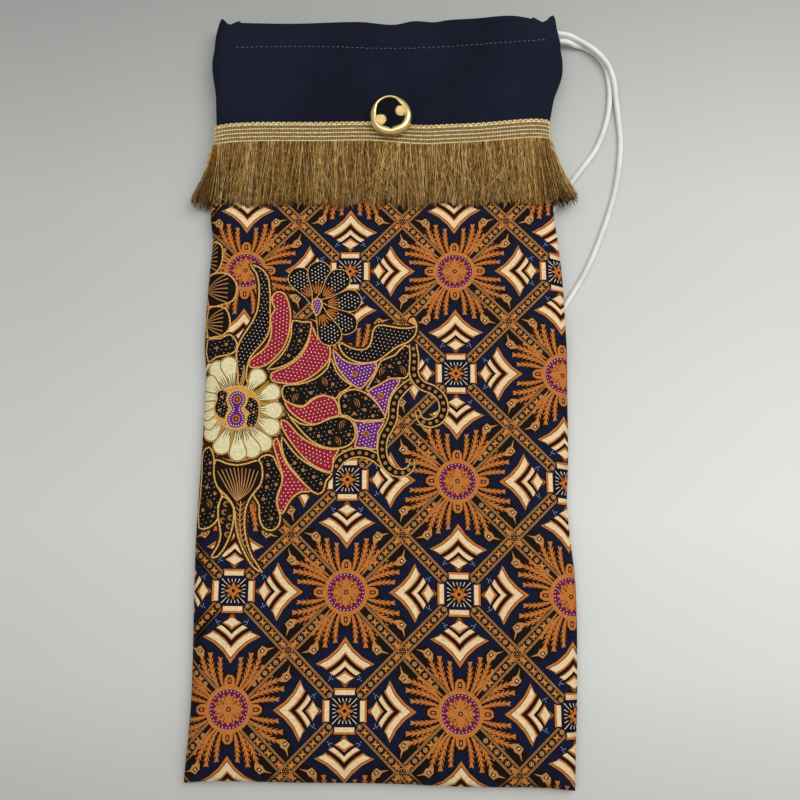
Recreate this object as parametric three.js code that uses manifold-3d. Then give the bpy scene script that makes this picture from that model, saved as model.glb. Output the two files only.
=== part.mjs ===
// Shofar bag: a flat drawstring bag of printed cotton, lying on its back.
// The printed bag closes at the bottom and at both side seams. A plain navy band is lapped over its top
// edge and is folded inwards at the mouth into a casing, which holds a braided cord. A metallic fringe
// runs round the lap, and a round shank button sits on it in front.
//
// Millimetres, +X to the right, +Y towards the mouth, +Z up. The bag lies on Z = 0.
import * as THREE from 'three';
import Module from 'manifold-3d';
import { mergeVertices } from 'three/addons/utils/BufferGeometryUtils.js';

const wasm = await Module();
wasm.setup();

// The bag as it lies
const bagWidth = 206;
const bagLength = 440;
const bottomY = -222;
const bodyHeight = 10.6;
const bodySeamHeight = 2.6;
const topEdgeRoll = 14;
const backEdgeRoll = 12;
const bottomEdgeRoll = 22;
const mouthRiseStart = 60;
const mouthRiseEnd = 195;

// Cloth and seams
const clothThickness = 0.7;
const layerGap = 0.3;
const seamFoldRadius = 1;
const seamAllowance = 9;
const casingSeamAllowance = 3.5;

// Band, lap and casing
const lapTopY = 147;
const lapDepth = 10;
const lapStart = 0.8;
const lapStepRun = 9;
const lapTrimColumns = 2;
const casingDepth = 5;
const hemTurn = 2.5;
const hemSlope = 2.2;
const hemTop = 10;
const hemInset = 15;
const hemEndRun = 2.4;
const hemEndTurn = 80;
const mouthGap = 4.8;
const casingStartY = 196;
const bandRows = 6;
const cordGateStart = 203;
const cordGateEnd = 220;
const cordGateLift = 3.3;
const cordGateFade = 5;
const gateSteps = [1, 8];
const earHeight = 5.8;
const earShare = 0.75;
const earDrop = 1.5;

// Fringe
const headerBottomY = 134.6;
const headerHeight = 12.4;
const headerThickness = 1.1;
const headerRibs = 5;
const headerRibHeight = 0.4;
const skirtGap = 0.3;
const skirtStripHeight = 4.5;
const skirtEndY = 96;
const skirtThickness = 1;
const skirtLocks = 80;
const skirtSplayLeft = 13;
const skirtSplayRight = 17.5;
const splayShareLeft = 0.016;
const splayShareRight = 0.02;
const splayRaise = 0.35;
const skirtBackGap = 0.5;
const skirtSideGap = 1.2;
const trimLift = 2.4;
const liftStart = 20;
const liftFull = 4;
const liftHold = 11;
const liftEnd = 29;
const lockTipScatter = 1.6;
const lockLean = 0.5;
// Down a lock: how far it has fallen, its width and its thickness, as shares
const lockSections = [[0.35, 0.8, 1], [0.72, 0.7, 0.9], [1, 0.3, 0.5]];

// Button
const buttonDiameter = 25.4;
const buttonSides = 32;
const buttonRimHeight = 4.4;
const buttonRingWidth = 3.5;
const buttonFloor = 1.1;
const buttonX = 3.2;
const buttonY = 149.8;
const inlayGap = 0.25;
const inlayHeight = 0.8;
const shankRadius = 1.5;
const shankHole = 0.8;
const shankWidth = 1.2;
const threadRadius = 0.25;
const threadLoop = 1.2;

// Drawstring
const cordDiameter = 3;
const cordSides = 8;
const cordLoopSteps = 54;
const cordJointGap = 0.3;
const cordClearance = 3.4;
const cordLiftFade = 34;
const bendLeftX = 62;
const bendBottomDepth = 203;
const bendTopDepth = 110;
const cordDrape = 0.6;
// The fold's height at which the cord's points are written down
const routeFoldY = 218;

// How far each side edge leans outwards, by its share of the bag's length
const leftSway = [
  [0, 0.9], [0.1, -1], [0.28, 0.5], [0.38, -0.3], [0.49, -0.9], [0.54, 0.8], [0.625, 0.1],
  [0.68, -1.1], [0.71, 0.1], [0.825, -1.4], [0.88, -0.3], [0.914, 2.2], [0.936, 3.3],
  [0.957, 2.4], [0.982, 1.6], [1.01, -1.2],
];
const rightSway = [
  [0, -3.6], [0.05, -2.3], [0.095, -0.9], [0.19, 0.8], [0.24, 0.6], [0.29, -1.2], [0.335, -2],
  [0.385, -0.5], [0.49, 0.7], [0.545, 0.5], [0.625, -0.4], [0.68, -2.4], [0.71, -4.3],
  [0.77, -6], [0.825, -6.1], [0.855, -3.8], [0.885, -0.9], [0.914, 3.9], [0.936, 5],
  [0.957, 4], [0.982, 1.9], [1.01, 0.5],
];
// How the bottom edge, the folded top edge and the casing's stitch line rise and fall, by share of the width
const bottomSway = [[0, 1.2], [0.07, 2.1], [0.29, 1.2], [0.54, 0.7], [0.72, -0.8], [0.92, -1.3], [1, -2.7]];
const foldSway = [
  [0, -2.2], [0.12, -3.3], [0.24, -3.6], [0.42, -2.2], [0.52, -4.1], [0.58, -1.6], [0.64, -2.4],
  [0.68, -1], [0.76, 0.1], [0.87, 2], [0.955, -1], [1, -1],
];
// How the fringe's tape rises and falls across the bag, in millimetres against millimetres from its middle
const tapeSway = [
  [-98, -0.4], [-75, 0.6], [-39, 0.6], [-9, 0.9], [21, -1.3], [40, -0.6], [56, 0.2], [80, 2.4], [96, 3.4],
];
const stitchSway = [[0, -20.9], [0.31, -20.2], [0.49, -21.3], [0.64, -20.6], [0.77, -18.4], [0.97, -14.8]];

const foldY = bottomY + bagLength;
const bendBottomY = foldY - bendBottomDepth;
const bendTopY = foldY - bendTopDepth;
const lapBottomY = lapTopY - lapDepth;
const lapInset = clothThickness + layerGap;
const seamEndY = lapBottomY - lapStart;
const mouthHeight = 2 * casingDepth + mouthGap;
const mouthSeamHeight = mouthHeight / 2;

function fromFold([x, y, z]) {
  return [x, y + foldY - routeFoldY, z];
}

// The cord leaves the casing at the right side seam, the front strand above the back one. Its outer
// strand and its inner strand meet under the bag in one round bend.
const cordRoute = [
  [105.4, 210.4, 9.3], [112.6, 210.8, 7], [119.5, 208.6, 5.2], [129.6, 201.5, 4.8],
  [136.7, 192.3, 4.7], [139.9, 181.8, 4.3], [141, 170.3, 3], [142.3, 154.8, 1.6], [142.7, 142.2, 1.5],
  [141.4, 129.3, 1.5], [138.2, 112.1, 1.5], [133.4, 96.1, 1.5], [127.9, 81.5, 1.5],
  [121.8, 67.1, 1.5], [114.2, 52.8, 1.5], [106, 40, 1.5], [98, 29, 1.5], [88.5, 21, 1.5],
  [77.5, 18.3, 1.5], [67.8, 23.5, 1.5], [64.3, 34.3, 1.5], [67, 46.5, 1.5], [73.6, 58.5, 1.5],
  [81.3, 70.5, 1.5], [90.3, 84, 1.5], [100, 98.5, 1.5], [110, 113.2, 1.5], [118.5, 124.5, 1.5],
  [127.3, 136.9, 1.5], [133.8, 152.2, 1.5], [137.2, 167.6, 1.5], [137.6, 181.8, 1.5],
  [135.6, 193.2, 1.5], [130.2, 201.4, 1.5], [124, 205.4, 1.6], [118, 206.8, 2.5],
  [112, 207.7, 4.9], [107, 207.7, 5.6],
].map(fromFold);
const casingFrontRun = [
  [101, 211, 10.4], [96, 211.9, 11.5], [88, 212.8, 12.3], [50, 212.4, 12.3], [10, 210.3, 12.3],
  [-30, 210.6, 12.3], [-80, 210.6, 12.3],
].map(fromFold);
const casingBackRun = [
  [-80, 203.6, 2.5], [-30, 203.6, 2.5], [20, 203.9, 2.5], [60, 205.5, 2.5], [88, 207.3, 2.5],
  [95, 207.6, 3.4], [101.5, 207.7, 5.3],
].map(fromFold);
const casingTurnX = -93.5;

function material(name, color, roughness, metalness = 0) {
  return new THREE.MeshStandardMaterial({ name, color, roughness, metalness });
}

const cottonMaterial = material('batik_cotton', 0x3a2a26, 0.9);
const navyMaterial = material('navy_cloth', 0x191d2a, 0.9);
const goldThread = material('gold_thread', 0xa98a4a, 0.45, 0.6);
const buttonGold = material('button_gold', 0xd8b25a, 0.2, 1);
const inlayBlack = material('inlay_black', 0x0a0a0c, 0.1);
const sewingThread = material('sewing_thread', 0x1c2030, 0.8);
const whiteBraid = material('white_braid', 0xe2e2de, 0.8);

function mix(a, b, share) {
  return a + (b - a) * share;
}

function smooth(low, high, value) {
  const share = Math.min(1, Math.max(0, (value - low) / (high - low)));
  return share * share * (3 - 2 * share);
}

// A smooth curve through [place, value] points
function follow(points, place) {
  const last = points.length - 1;
  if (place <= points[0][0]) return points[0][1];
  if (place >= points[last][0]) return points[last][1];
  const k = points.findIndex((point) => point[0] > place) - 1;
  const slope = (i) => {
    const before = points[Math.max(0, i - 1)];
    const after = points[Math.min(last, i + 1)];
    return (after[1] - before[1]) / (after[0] - before[0]);
  };
  const width = points[k + 1][0] - points[k][0];
  const s = (place - points[k][0]) / width;
  const rise = (1 + 2 * s) * (1 - s) ** 2 * points[k][1] + s * s * (3 - 2 * s) * points[k + 1][1];
  return rise + width * (s * (1 - s) ** 2 * slope(k) - s * s * (1 - s) * slope(k + 1));
}

// A quarter of an ellipse: 0 at the edge, 1 past the roll
function roundedEdge(distance, roll) {
  const share = Math.min(1, Math.max(0, distance / roll));
  return Math.sqrt(1 - (1 - share) ** 2);
}

function leftEdge(y) {
  return -(bagWidth / 2 + follow(leftSway, (y - bottomY) / bagLength));
}

function rightEdge(y) {
  return bagWidth / 2 + follow(rightSway, (y - bottomY) / bagLength);
}

function widthShare(x, y) {
  return (x - leftEdge(y)) / (rightEdge(y) - leftEdge(y));
}

function edgeDistance(x, y) {
  return Math.min(x - leftEdge(y), rightEdge(y) - x);
}

// The bag's right side rests on the cord's hidden bend and is raised over it as one low plateau
function cordLift(x, y) {
  const across = smooth(bendLeftX - cordLiftFade, bendLeftX, x);
  const below = smooth(bendBottomY - cordLiftFade, bendBottomY, y);
  return cordClearance * across * below * (1 - smooth(bendTopY, bendTopY + cordLiftFade, y));
}

function undersideLift(x, y) {
  const rise = smooth(skirtEndY - liftStart, skirtEndY - liftFull, y);
  const fall = smooth(lapTopY + liftHold, lapTopY + liftEnd, y);
  return trimLift * rise * (1 - fall) + cordLift(x, y);
}

function mouthRise(y) {
  return smooth(mouthRiseStart, mouthRiseEnd, y);
}

// The height at which the front and the back meet at the edge nearest to x
function seamHeight(x, y) {
  const edge = widthShare(x, y) < 0.5 ? leftEdge(y) : rightEdge(y);
  return mix(bodySeamHeight, mouthSeamHeight, mouthRise(y)) + undersideLift(edge, y);
}

// The side seam is left open at the right end of the casing, where the cord comes out
function cordGate(x, y) {
  if (widthShare(x, y) < 0.5) return 0;
  const from = smooth(cordGateStart - cordGateFade, cordGateStart, y);
  return cordGateLift * from * (1 - smooth(cordGateEnd, cordGateEnd + cordGateFade, y));
}

function bottomEdge(share) {
  return bottomY + follow(bottomSway, share);
}

function outerHeight(side, x, y) {
  const roll = side > 0 ? topEdgeRoll : backEdgeRoll;
  const edge = seamHeight(x, y) + side * (layerGap / 2 + seamFoldRadius + cordGate(x, y));
  const top = mix(bodyHeight, mouthHeight, mouthRise(y)) + cordDrape * cordLift(x, y);
  const level = side > 0 ? top : undersideLift(x, y);
  const crown = roundedEdge(edgeDistance(x, y), roll);
  const end = roundedEdge(y - bottomEdge(widthShare(x, y)), bottomEdgeRoll);
  return mix(edge, level, crown * end);
}

// The printed cloth steps inside the band before the lap, but keeps its seams on the bag's edge
function panelHeight(side, x, y) {
  const roll = side > 0 ? topEdgeRoll : backEdgeRoll;
  const crown = roundedEdge(edgeDistance(x, y), roll);
  const share = Math.max(crown, smooth(seamEndY, seamEndY + lapStart, y));
  return outerHeight(side, x, y) - side * lapInset * share * smooth(lapBottomY - lapStepRun, seamEndY, y);
}

// A sheet of cloth given by its outer face, made solid by one cloth thickness inwards
class Sheet {
  constructor(side) {
    this.side = side;
    this.points = [];
    this.faces = [];
  }

  point(x, y, z) {
    this.points.push(new THREE.Vector3(x, y, z));
    return this.points.length - 1;
  }

  quad(a, b, c, d) {
    const corners = this.side > 0 ? [a, b, c, d] : [a, d, c, b];
    this.faces.push([corners[0], corners[1], corners[2]], [corners[0], corners[2], corners[3]]);
  }

  // Joins a row of new points to a row on the sheet's border
  strip(border, next) {
    for (let k = 0; k + 1 < border.length; k += 1) this.quad(border[k + 1], border[k], next[k], next[k + 1]);
  }

  solid(thickness) {
    const normals = this.points.map(() => new THREE.Vector3());
    const edges = new Map();
    for (const [a, b, c] of this.faces) {
      const ab = this.points[b].clone().sub(this.points[a]);
      const ac = this.points[c].clone().sub(this.points[a]);
      const normal = ab.cross(ac);
      for (const corner of [a, b, c]) normals[corner].add(normal);
      for (const [from, to] of [[a, b], [b, c], [c, a]]) edges.set(`${from},${to}`, [from, to]);
    }
    const count = this.points.length;
    const inner = this.points.map((point, i) => {
      return point.clone().addScaledVector(normals[i].normalize(), -thickness);
    });
    const index = [];
    for (const [a, b, c] of this.faces) index.push(a, b, c, count + c, count + b, count + a);
    for (const [from, to] of edges.values()) {
      if (edges.has(`${to},${from}`)) continue;
      index.push(to, from, count + from, to, count + from, count + to);
    }
    return indexedGeometry([...this.points, ...inner], index);
  }
}

function indexedGeometry(points, index) {
  const geometry = new THREE.BufferGeometry();
  const places = points.flatMap((p) => [p.x, p.y, p.z]);
  geometry.setAttribute('position', new THREE.Float32BufferAttribute(places, 3));
  geometry.setIndex(index);
  geometry.computeVertexNormals();
  return geometry;
}

// Columns across the cloth: close together in the rolled edges, even between them
const edgeSteps = [0, 1.2, 4.5, 9];
const bottomSteps = [0, 1.5, 6, 20];
const lowerRows = 6;
const upperRows = 13;

function columnPlaces(y, middleColumns) {
  const left = leftEdge(y);
  const right = rightEdge(y);
  const places = edgeSteps.map((step) => left + step);
  for (let i = 0; i <= middleColumns; i += 1) {
    places.push(mix(left + hemInset, right - hemInset, i / middleColumns));
  }
  return [...places, ...[...edgeSteps].reverse().map((step) => right - step)];
}

// Turns a border inwards and lays its allowance flat on the seam's middle plane
function turnIn(sheet, border, inset, depthAt) {
  let row = border;
  const start = border.map((i) => sheet.points[i].clone());
  for (const flat of [0, 1]) {
    const next = start.map((p) => {
      const [x, y] = inset(p, mix(seamFoldRadius, depthAt(p), flat));
      return sheet.point(x, y, p.z - sheet.side * seamFoldRadius);
    });
    sheet.strip(row, next);
    row = next;
  }
}

// Printed panels

function makePanel(side, middleColumns) {
  const sheet = new Sheet(side);
  const rowYs = bottomSteps.map((step) => bottomY + step);
  const lastStep = rowYs[rowYs.length - 1];
  const liftStart = bendBottomY - cordLiftFade;
  for (let i = 1; i <= lowerRows; i += 1) rowYs.push(mix(lastStep, liftStart, i / lowerRows));
  for (let i = 1; i <= upperRows; i += 1) rowYs.push(mix(liftStart, seamEndY, i / upperRows));
  const seamRows = rowYs.length;
  rowYs.push(lapBottomY, lapTopY);
  const grid = rowYs.map((rowY) => {
    const share = (rowY - bottomY) / (lapTopY - bottomY);
    return columnPlaces(rowY, middleColumns).map((x) => {
      const y = mix(bottomEdge(widthShare(x, rowY)), lapTopY, share);
      return sheet.point(x, y, panelHeight(side, x, y));
    });
  });
  const lastColumn = grid[0].length - 1;
  const seamed = grid.slice(0, seamRows);
  joinGrid(sheet, seamed);
  joinGrid(sheet, grid.slice(seamRows - 1), lapTrimColumns, lastColumn - lapTrimColumns);
  const border = [...seamed.map((row) => row[0]).reverse(), ...grid[0].slice(1, lastColumn)];
  border.push(...seamed.map((row) => row[lastColumn]));
  const inset = (p, d) => {
    const middle = (leftEdge(p.y) + rightEdge(p.y)) / 2;
    const x = middle + (p.x - middle) * (1 - d / (bagWidth / 2));
    return [x, lapTopY - (lapTopY - p.y) * (1 - d / (lapTopY - bottomY))];
  };
  turnIn(sheet, border, inset, () => seamAllowance);
  return sheet.solid(clothThickness);
}

function joinGrid(sheet, grid, from = 0, to = grid[0].length - 1) {
  for (let j = 0; j + 1 < grid.length; j += 1) {
    for (let i = from; i < to; i += 1) {
      sheet.quad(grid[j][i], grid[j][i + 1], grid[j + 1][i + 1], grid[j + 1][i]);
    }
  }
}

// Navy band with its casing

function foldLine(share) {
  return foldY + follow(foldSway, share);
}

function stitchLine(share) {
  return foldY + follow(stitchSway, share);
}

// The cloth stands up in a small ear at each end of the mouth, outside the casing's fold
function mouthEdge(x, y) {
  const fold = foldLine(widthShare(x, y)) - casingDepth / 2;
  const distance = edgeDistance(x, y);
  if (distance > hemInset - 1) return fold;
  const ear = smooth(earShare * hemInset, edgeSteps[1], distance);
  return fold + (earHeight + casingDepth / 2) * ear - earDrop * (1 - smooth(0, edgeSteps[1], distance));
}

function makeBand(side, middleColumns) {
  const sheet = new Sheet(side);
  const rowYs = [lapBottomY];
  for (let i = 1; i <= bandRows; i += 1) rowYs.push(mix(lapBottomY, casingStartY, i / bandRows));
  for (const step of gateSteps) rowYs.push(cordGateStart + step);
  const columns = columnPlaces(foldY, middleColumns).map((x) => widthShare(x, foldY));
  const place = (share, y) => [mix(leftEdge(y), rightEdge(y), share), y];
  const outer = rowYs.map((y) => columnPlaces(y, middleColumns).map((x) => {
    return sheet.point(x, y, outerHeight(side, x, y));
  }));
  outer.push(columns.map((share) => {
    const [x0] = place(share, foldY);
    const y = mouthEdge(x0, foldY);
    const [x] = place(share, y);
    return sheet.point(x, y, outerHeight(side, x, y));
  }));
  joinGrid(sheet, outer);

  const first = edgeSteps.length;
  const last = columns.length - 1 - first;
  const hemShares = columns.slice(first, last + 1);
  const hem = [outer[outer.length - 1].slice(first, last + 1)];
  const radius = casingDepth / 2;
  for (const angle of [45, 90, 135, 180]) {
    const turn = THREE.MathUtils.degToRad(angle);
    hem.push(hemShares.map((share, i) => {
      const p = sheet.points[hem[0][i]];
      return sheet.point(p.x, p.y + radius * Math.sin(turn), p.z - side * radius * (1 - Math.cos(turn)));
    }));
  }
  const flatDepth = 2 * clothThickness + layerGap;
  const hemRows = [[hemTop, casingDepth], [hemSlope, casingDepth], [0, flatDepth], [-hemTurn, flatDepth]];
  for (const [above, depth] of hemRows) {
    hem.push(hemShares.map((share) => {
      const y = stitchLine(share) + above;
      const [x] = place(share, y);
      return sheet.point(x, y, outerHeight(side, x, y) - side * depth);
    }));
  }
  joinGrid(sheet, hem);
  closeHemEnds(sheet, hem);

  const inset = (p, d) => [p.x + (p.x < 0 ? d : -d), p.y];
  const lastColumn = columns.length - 1;
  const depthAt = (p) => (p.y > casingStartY ? casingSeamAllowance : seamAllowance);
  turnIn(sheet, outer.map((row) => row[0]).reverse(), inset, depthAt);
  const belowCasing = outer.filter((row, j) => rowYs[j] <= casingStartY);
  turnIn(sheet, belowCasing.map((row) => row[lastColumn]), inset, depthAt);
  return sheet.solid(clothThickness);
}

// At each end the casing's inner wall curves to the middle plane, where the front and back walls meet
function closeHemEnds(sheet, hem) {
  const rows = hem.slice(4, 7);
  for (const atLeft of [true, false]) {
    const border = rows.map((row) => row[atLeft ? 0 : row.length - 1]);
    if (atLeft) border.reverse();
    let row = border;
    const fullTurn = THREE.MathUtils.degToRad(hemEndTurn);
    for (const turn of [fullTurn / 2, fullTurn]) {
      const share = (1 - Math.cos(turn)) / (1 - Math.cos(fullTurn));
      const next = border.map((i) => {
        const p = sheet.points[i];
        const target = seamHeight(p.x, p.y) + sheet.side * layerGap / 2;
        const x = p.x + (atLeft ? -1 : 1) * hemEndRun * Math.sin(turn);
        return sheet.point(x, p.y, mix(p.z, target, share));
      });
      sheet.strip(row, next);
      row = next;
    }
  }
}

// Fringe

// One turn round the bag at height y along it: points on the cloth's outer face with their normals
const loops = new Map();
const loopColumns = 18;
const loopProbe = 0.004;

function clothLoop(y) {
  if (loops.has(y)) return loops.get(y);
  const left = leftEdge(y);
  const right = rightEdge(y);
  const places = [];
  const rollSteps = [0, 1, 2, 3, 4, 5].map((i) => topEdgeRoll * (1 - Math.cos(Math.PI * i / 10)));
  for (const step of rollSteps) places.push(left + step);
  for (let i = 1; i < loopColumns; i += 1) {
    places.push(mix(left + topEdgeRoll, right - topEdgeRoll, i / loopColumns));
  }
  for (const step of rollSteps.reverse()) places.push(right - step);
  const front = places.map((x) => [x, outerHeight(1, x, y)]);
  const back = places.map((x) => [x, outerHeight(-1, x, y)]).reverse();
  const points = [[left, seamHeight(left, y)], ...front, [right, seamHeight(right, y)], ...back];
  points.push(points[0]);
  const travel = [0];
  for (let i = 1; i < points.length; i += 1) {
    const step = Math.hypot(points[i][0] - points[i - 1][0], points[i][1] - points[i - 1][1]);
    travel.push(travel[i - 1] + step);
  }
  loops.set(y, { points, travel, shares: travel.map((t) => t / travel[travel.length - 1]) });
  return loops.get(y);
}

function onLoop(y, share) {
  const { points, travel } = clothLoop(y);
  const target = (share - Math.floor(share)) * travel[travel.length - 1];
  const k = Math.max(1, travel.findIndex((t) => t >= target));
  const s = (target - travel[k - 1]) / Math.max(1e-9, travel[k] - travel[k - 1]);
  return [mix(points[k - 1][0], points[k][0], s), mix(points[k - 1][1], points[k][1], s)];
}

function roundBag(y, share, offset) {
  const swayed = y + follow(tapeSway, onLoop(y, share)[0]);
  const [x, z] = onLoop(swayed, share);
  const [ax, az] = onLoop(swayed, share - loopProbe);
  const [bx, bz] = onLoop(swayed, share + loopProbe);
  const length = Math.hypot(bx - ax, bz - az);
  return new THREE.Vector3(x - offset * (bz - az) / length, swayed, z + offset * (bx - ax) / length);
}

// A closed ring round the bag from a closed profile of [y, offset] points, listed clockwise
function bagRing(profile) {
  const points = [];
  const index = [];
  const shares = clothLoop(profile[0][0]).shares.slice(0, -1);
  const turns = shares.length;
  for (const share of shares) {
    for (const [y, offset] of profile) points.push(roundBag(y, share, offset));
  }
  const n = profile.length;
  for (let k = 0; k < turns; k += 1) {
    const next = (k + 1) % turns;
    for (let i = 0; i < n; i += 1) {
      const j = (i + 1) % n;
      index.push(k * n + i, k * n + j, next * n + j, k * n + i, next * n + j, next * n + i);
    }
  }
  return indexedGeometry(points, index);
}

// A woven tape: bright cords run along it as ribs, with open rows between them
function makeHeader() {
  const profile = [[headerBottomY, layerGap]];
  const ribs = 2 * headerRibs;
  for (let i = 0; i <= ribs; i += 1) {
    const raised = i % 2 === 1 ? headerRibHeight : 0;
    const y = headerBottomY + headerHeight * i / ribs;
    profile.push([y, layerGap + headerThickness - headerRibHeight + raised]);
  }
  profile.push([headerBottomY + headerHeight, layerGap]);
  return bagRing(profile.reverse());
}

// A repeatable scatter from -1 to 1
function scatter(i, seed) {
  const value = Math.sin(i * 12.9898 + seed * 78.233) * 43758.5453;
  return 2 * (value - Math.floor(value)) - 1;
}

// How far strands stand out past the bag's side edges at share round the bag
function splayAt(share) {
  const fromLeft = Math.min(share, 1 - share);
  const fromRight = Math.abs(share - 0.5);
  const leftPart = Math.exp(-((fromLeft / splayShareLeft) ** 2));
  const rightPart = Math.exp(-((fromRight / splayShareRight) ** 2));
  return skirtSplayRight * rightPart - skirtSplayLeft * leftPart;
}

// The strands stand a little further off round the side edges and on the back
function standOff(share) {
  const sides = Math.abs(splayAt(share)) / skirtSplayRight;
  return Math.max(skirtSideGap * sides, share > 0.5 ? skirtBackGap : 0);
}

// Locks of strands hang side by side from one strip under the header and taper to their cut ends
function makeSkirt() {
  const top = headerBottomY - skirtGap;
  const root = top - skirtStripHeight;
  const inner = layerGap;
  const outer = layerGap + skirtThickness;
  const points = [];
  const index = [];
  const quad = (a, b, c, d) => index.push(a, b, c, a, c, d);
  for (let k = 0; k < skirtLocks; k += 1) {
    const share = k / skirtLocks;
    const stand = standOff(share);
    for (const [y, offset] of [[top, inner], [top, outer], [root, inner], [root, outer]]) {
      points.push(roundBag(y, share, offset + stand));
    }
  }
  const ring = (k, i) => 4 * (k % skirtLocks) + i;
  for (let k = 0; k < skirtLocks; k += 1) {
    quad(ring(k, 0), ring(k, 1), ring(k + 1, 1), ring(k + 1, 0));
    quad(ring(k, 1), ring(k, 3), ring(k + 1, 3), ring(k + 1, 1));
    quad(ring(k, 2), ring(k, 0), ring(k + 1, 0), ring(k + 1, 2));
    let section = [ring(k, 2), ring(k, 3), ring(k + 1, 3), ring(k + 1, 2)];
    const middle = (k + 0.5) / skirtLocks;
    const end = skirtEndY + lockTipScatter * scatter(k, 1) + splayRaise * Math.abs(splayAt(middle));
    for (const [fall, width, thick] of lockSections) {
      const y = mix(root, end, fall);
      const lean = (lockLean * scatter(k, 2) * fall) / skirtLocks;
      const half = width / skirtLocks / 2;
      const out = splayAt(middle) * fall * fall;
      const front = inner + skirtThickness * thick;
      const next = [[-half, inner], [-half, front], [half, front], [half, inner]];
      const corners = next.map(([across, offset]) => {
        const p = roundBag(y, middle + lean + across, offset + standOff(middle));
        p.x += out;
        points.push(p);
        return points.length - 1;
      });
      for (let i = 0; i < 4; i += 1) {
        const j = (i + 1) % 4;
        quad(section[i], corners[i], corners[j], section[j]);
      }
      section = corners;
    }
    quad(section[3], section[2], section[1], section[0]);
  }
  return indexedGeometry(points, index);
}

// Button

function solidOf(geometry) {
  const bare = geometry.clone();
  bare.deleteAttribute('normal');
  bare.deleteAttribute('uv');
  const merged = mergeVertices(bare, 1e-4);
  const vertProperties = new Float32Array(merged.attributes.position.array);
  const triVerts = new Uint32Array(merged.index.array);
  return new wasm.Manifold(new wasm.Mesh({ numProp: 3, vertProperties, triVerts }));
}

function geometryOf(solid) {
  const mesh = solid.getMesh();
  const geometry = new THREE.BufferGeometry();
  geometry.setAttribute('position', new THREE.BufferAttribute(new Float32Array(mesh.vertProperties), 3));
  geometry.setIndex(new THREE.BufferAttribute(new Uint32Array(mesh.triVerts), 1));
  geometry.computeVertexNormals();
  return geometry;
}

// Turns a profile of [radius, height] points about Z
function turned(profile, segments) {
  const geometry = new THREE.LatheGeometry(profile.map(([r, z]) => new THREE.Vector2(r, z)), segments);
  geometry.rotateX(Math.PI / 2);
  return geometry;
}

// A scroll that reaches in from the rim over the inlay, as two overlapping round lobes
function scrollShape(grow) {
  const inside = buttonDiameter / 2 - buttonRingWidth;
  const shape = new THREE.Shape();
  const lobe = inside * 0.3 + grow;
  const centre = inside * 0.72;
  shape.moveTo(inside + 1, -0.42 * lobe);
  shape.lineTo(centre + 0.5 * lobe, -0.8 * lobe);
  shape.absarc(centre - 0.1 * lobe, 0, lobe, -0.35 * Math.PI, -0.95 * Math.PI, true);
  shape.absarc(centre, 0.75 * lobe, 0.62 * lobe, Math.PI, 0.25 * Math.PI, true);
  shape.lineTo(inside + 1, 0.55 * lobe);
  return shape;
}

const scrollAngles = [42, 205];

function scrolls(grow, from, to) {
  const settings = { depth: to - from, bevelEnabled: false, curveSegments: 6 };
  return scrollAngles.map((angle) => {
    const geometry = new THREE.ExtrudeGeometry(scrollShape(grow), settings);
    geometry.translate(0, 0, from);
    geometry.rotateZ(THREE.MathUtils.degToRad(angle));
    return solidOf(geometry);
  });
}

function makeButtonBody() {
  const radius = buttonDiameter / 2;
  const inside = radius - buttonRingWidth;
  const top = buttonRimHeight;
  const floor = top - inlayHeight - inlayGap;
  const under = floor - buttonFloor;
  const profile = [
    [0, under], [inside - 0.2, under], [inside, 0.5], [radius - 1.5, 0], [radius - 0.3, 0.5],
    [radius, 0.36 * top], [radius - 0.35, 0.68 * top], [radius - 1.3, 0.94 * top], [radius - 2.2, top],
    [inside + 0.3, 0.93 * top],
    [inside, 0.8 * top], [inside, floor], [0, floor],
  ];
  let body = solidOf(turned(profile, buttonSides));
  for (const scroll of scrolls(0, floor - 0.3, top + 0.2)) body = body.add(scroll);
  const shank = new THREE.Shape();
  shank.moveTo(-shankRadius, shankRadius + 0.3);
  shank.lineTo(-shankRadius, 0);
  shank.absarc(0, 0, shankRadius, Math.PI, 2 * Math.PI, false);
  shank.lineTo(shankRadius, shankRadius + 0.3);
  const eye = new THREE.Path();
  eye.absarc(0, 0, shankHole, 0, 2 * Math.PI, true);
  shank.holes.push(eye);
  const loop = new THREE.ExtrudeGeometry(shank, { depth: shankWidth, bevelEnabled: false, curveSegments: 5 });
  loop.translate(0, 0, -shankWidth / 2);
  loop.rotateX(Math.PI / 2);
  loop.translate(0, 0, under - shankRadius);
  return geometryOf(body.add(solidOf(loop)));
}

function makeInlay() {
  const inside = buttonDiameter / 2 - buttonRingWidth - inlayGap;
  const top = buttonRimHeight;
  const base = top - inlayHeight;
  const profile = [[0, base], [inside, base], [inside, top - 0.3], [0.8 * inside, top - 0.08], [0, top]];
  let inlay = solidOf(turned(profile, buttonSides));
  for (const scroll of scrolls(inlayGap, base - 1, top + 1)) inlay = inlay.subtract(scroll);
  return geometryOf(inlay);
}

function makeButtonThread() {
  return new THREE.TorusGeometry(threadLoop, threadRadius, 6, 18);
}

// Drawstring

// A route whose steps go from point to point, so that bends get short steps and straight runs long ones
class PointRoute extends THREE.CatmullRomCurve3 {
  constructor(points) {
    super(points.map((p) => new THREE.Vector3(...p)), false, 'centripetal');
  }

  getPointAt(t, target) {
    return this.getPoint(t, target);
  }

  getTangentAt(t, target) {
    return this.getTangent(t, target);
  }
}

function makeCord(points, steps) {
  const section = new THREE.Shape();
  const outline = [];
  for (let i = 0; i < cordSides; i += 1) {
    const angle = 2 * Math.PI * (i + 0.5) / cordSides;
    outline.push(new THREE.Vector2(Math.cos(angle), Math.sin(angle)).multiplyScalar(cordDiameter / 2));
  }
  section.setFromPoints(outline);
  const extrudePath = new PointRoute(points);
  return new THREE.ExtrudeGeometry(section, { steps, bevelEnabled: false, extrudePath });
}

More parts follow.
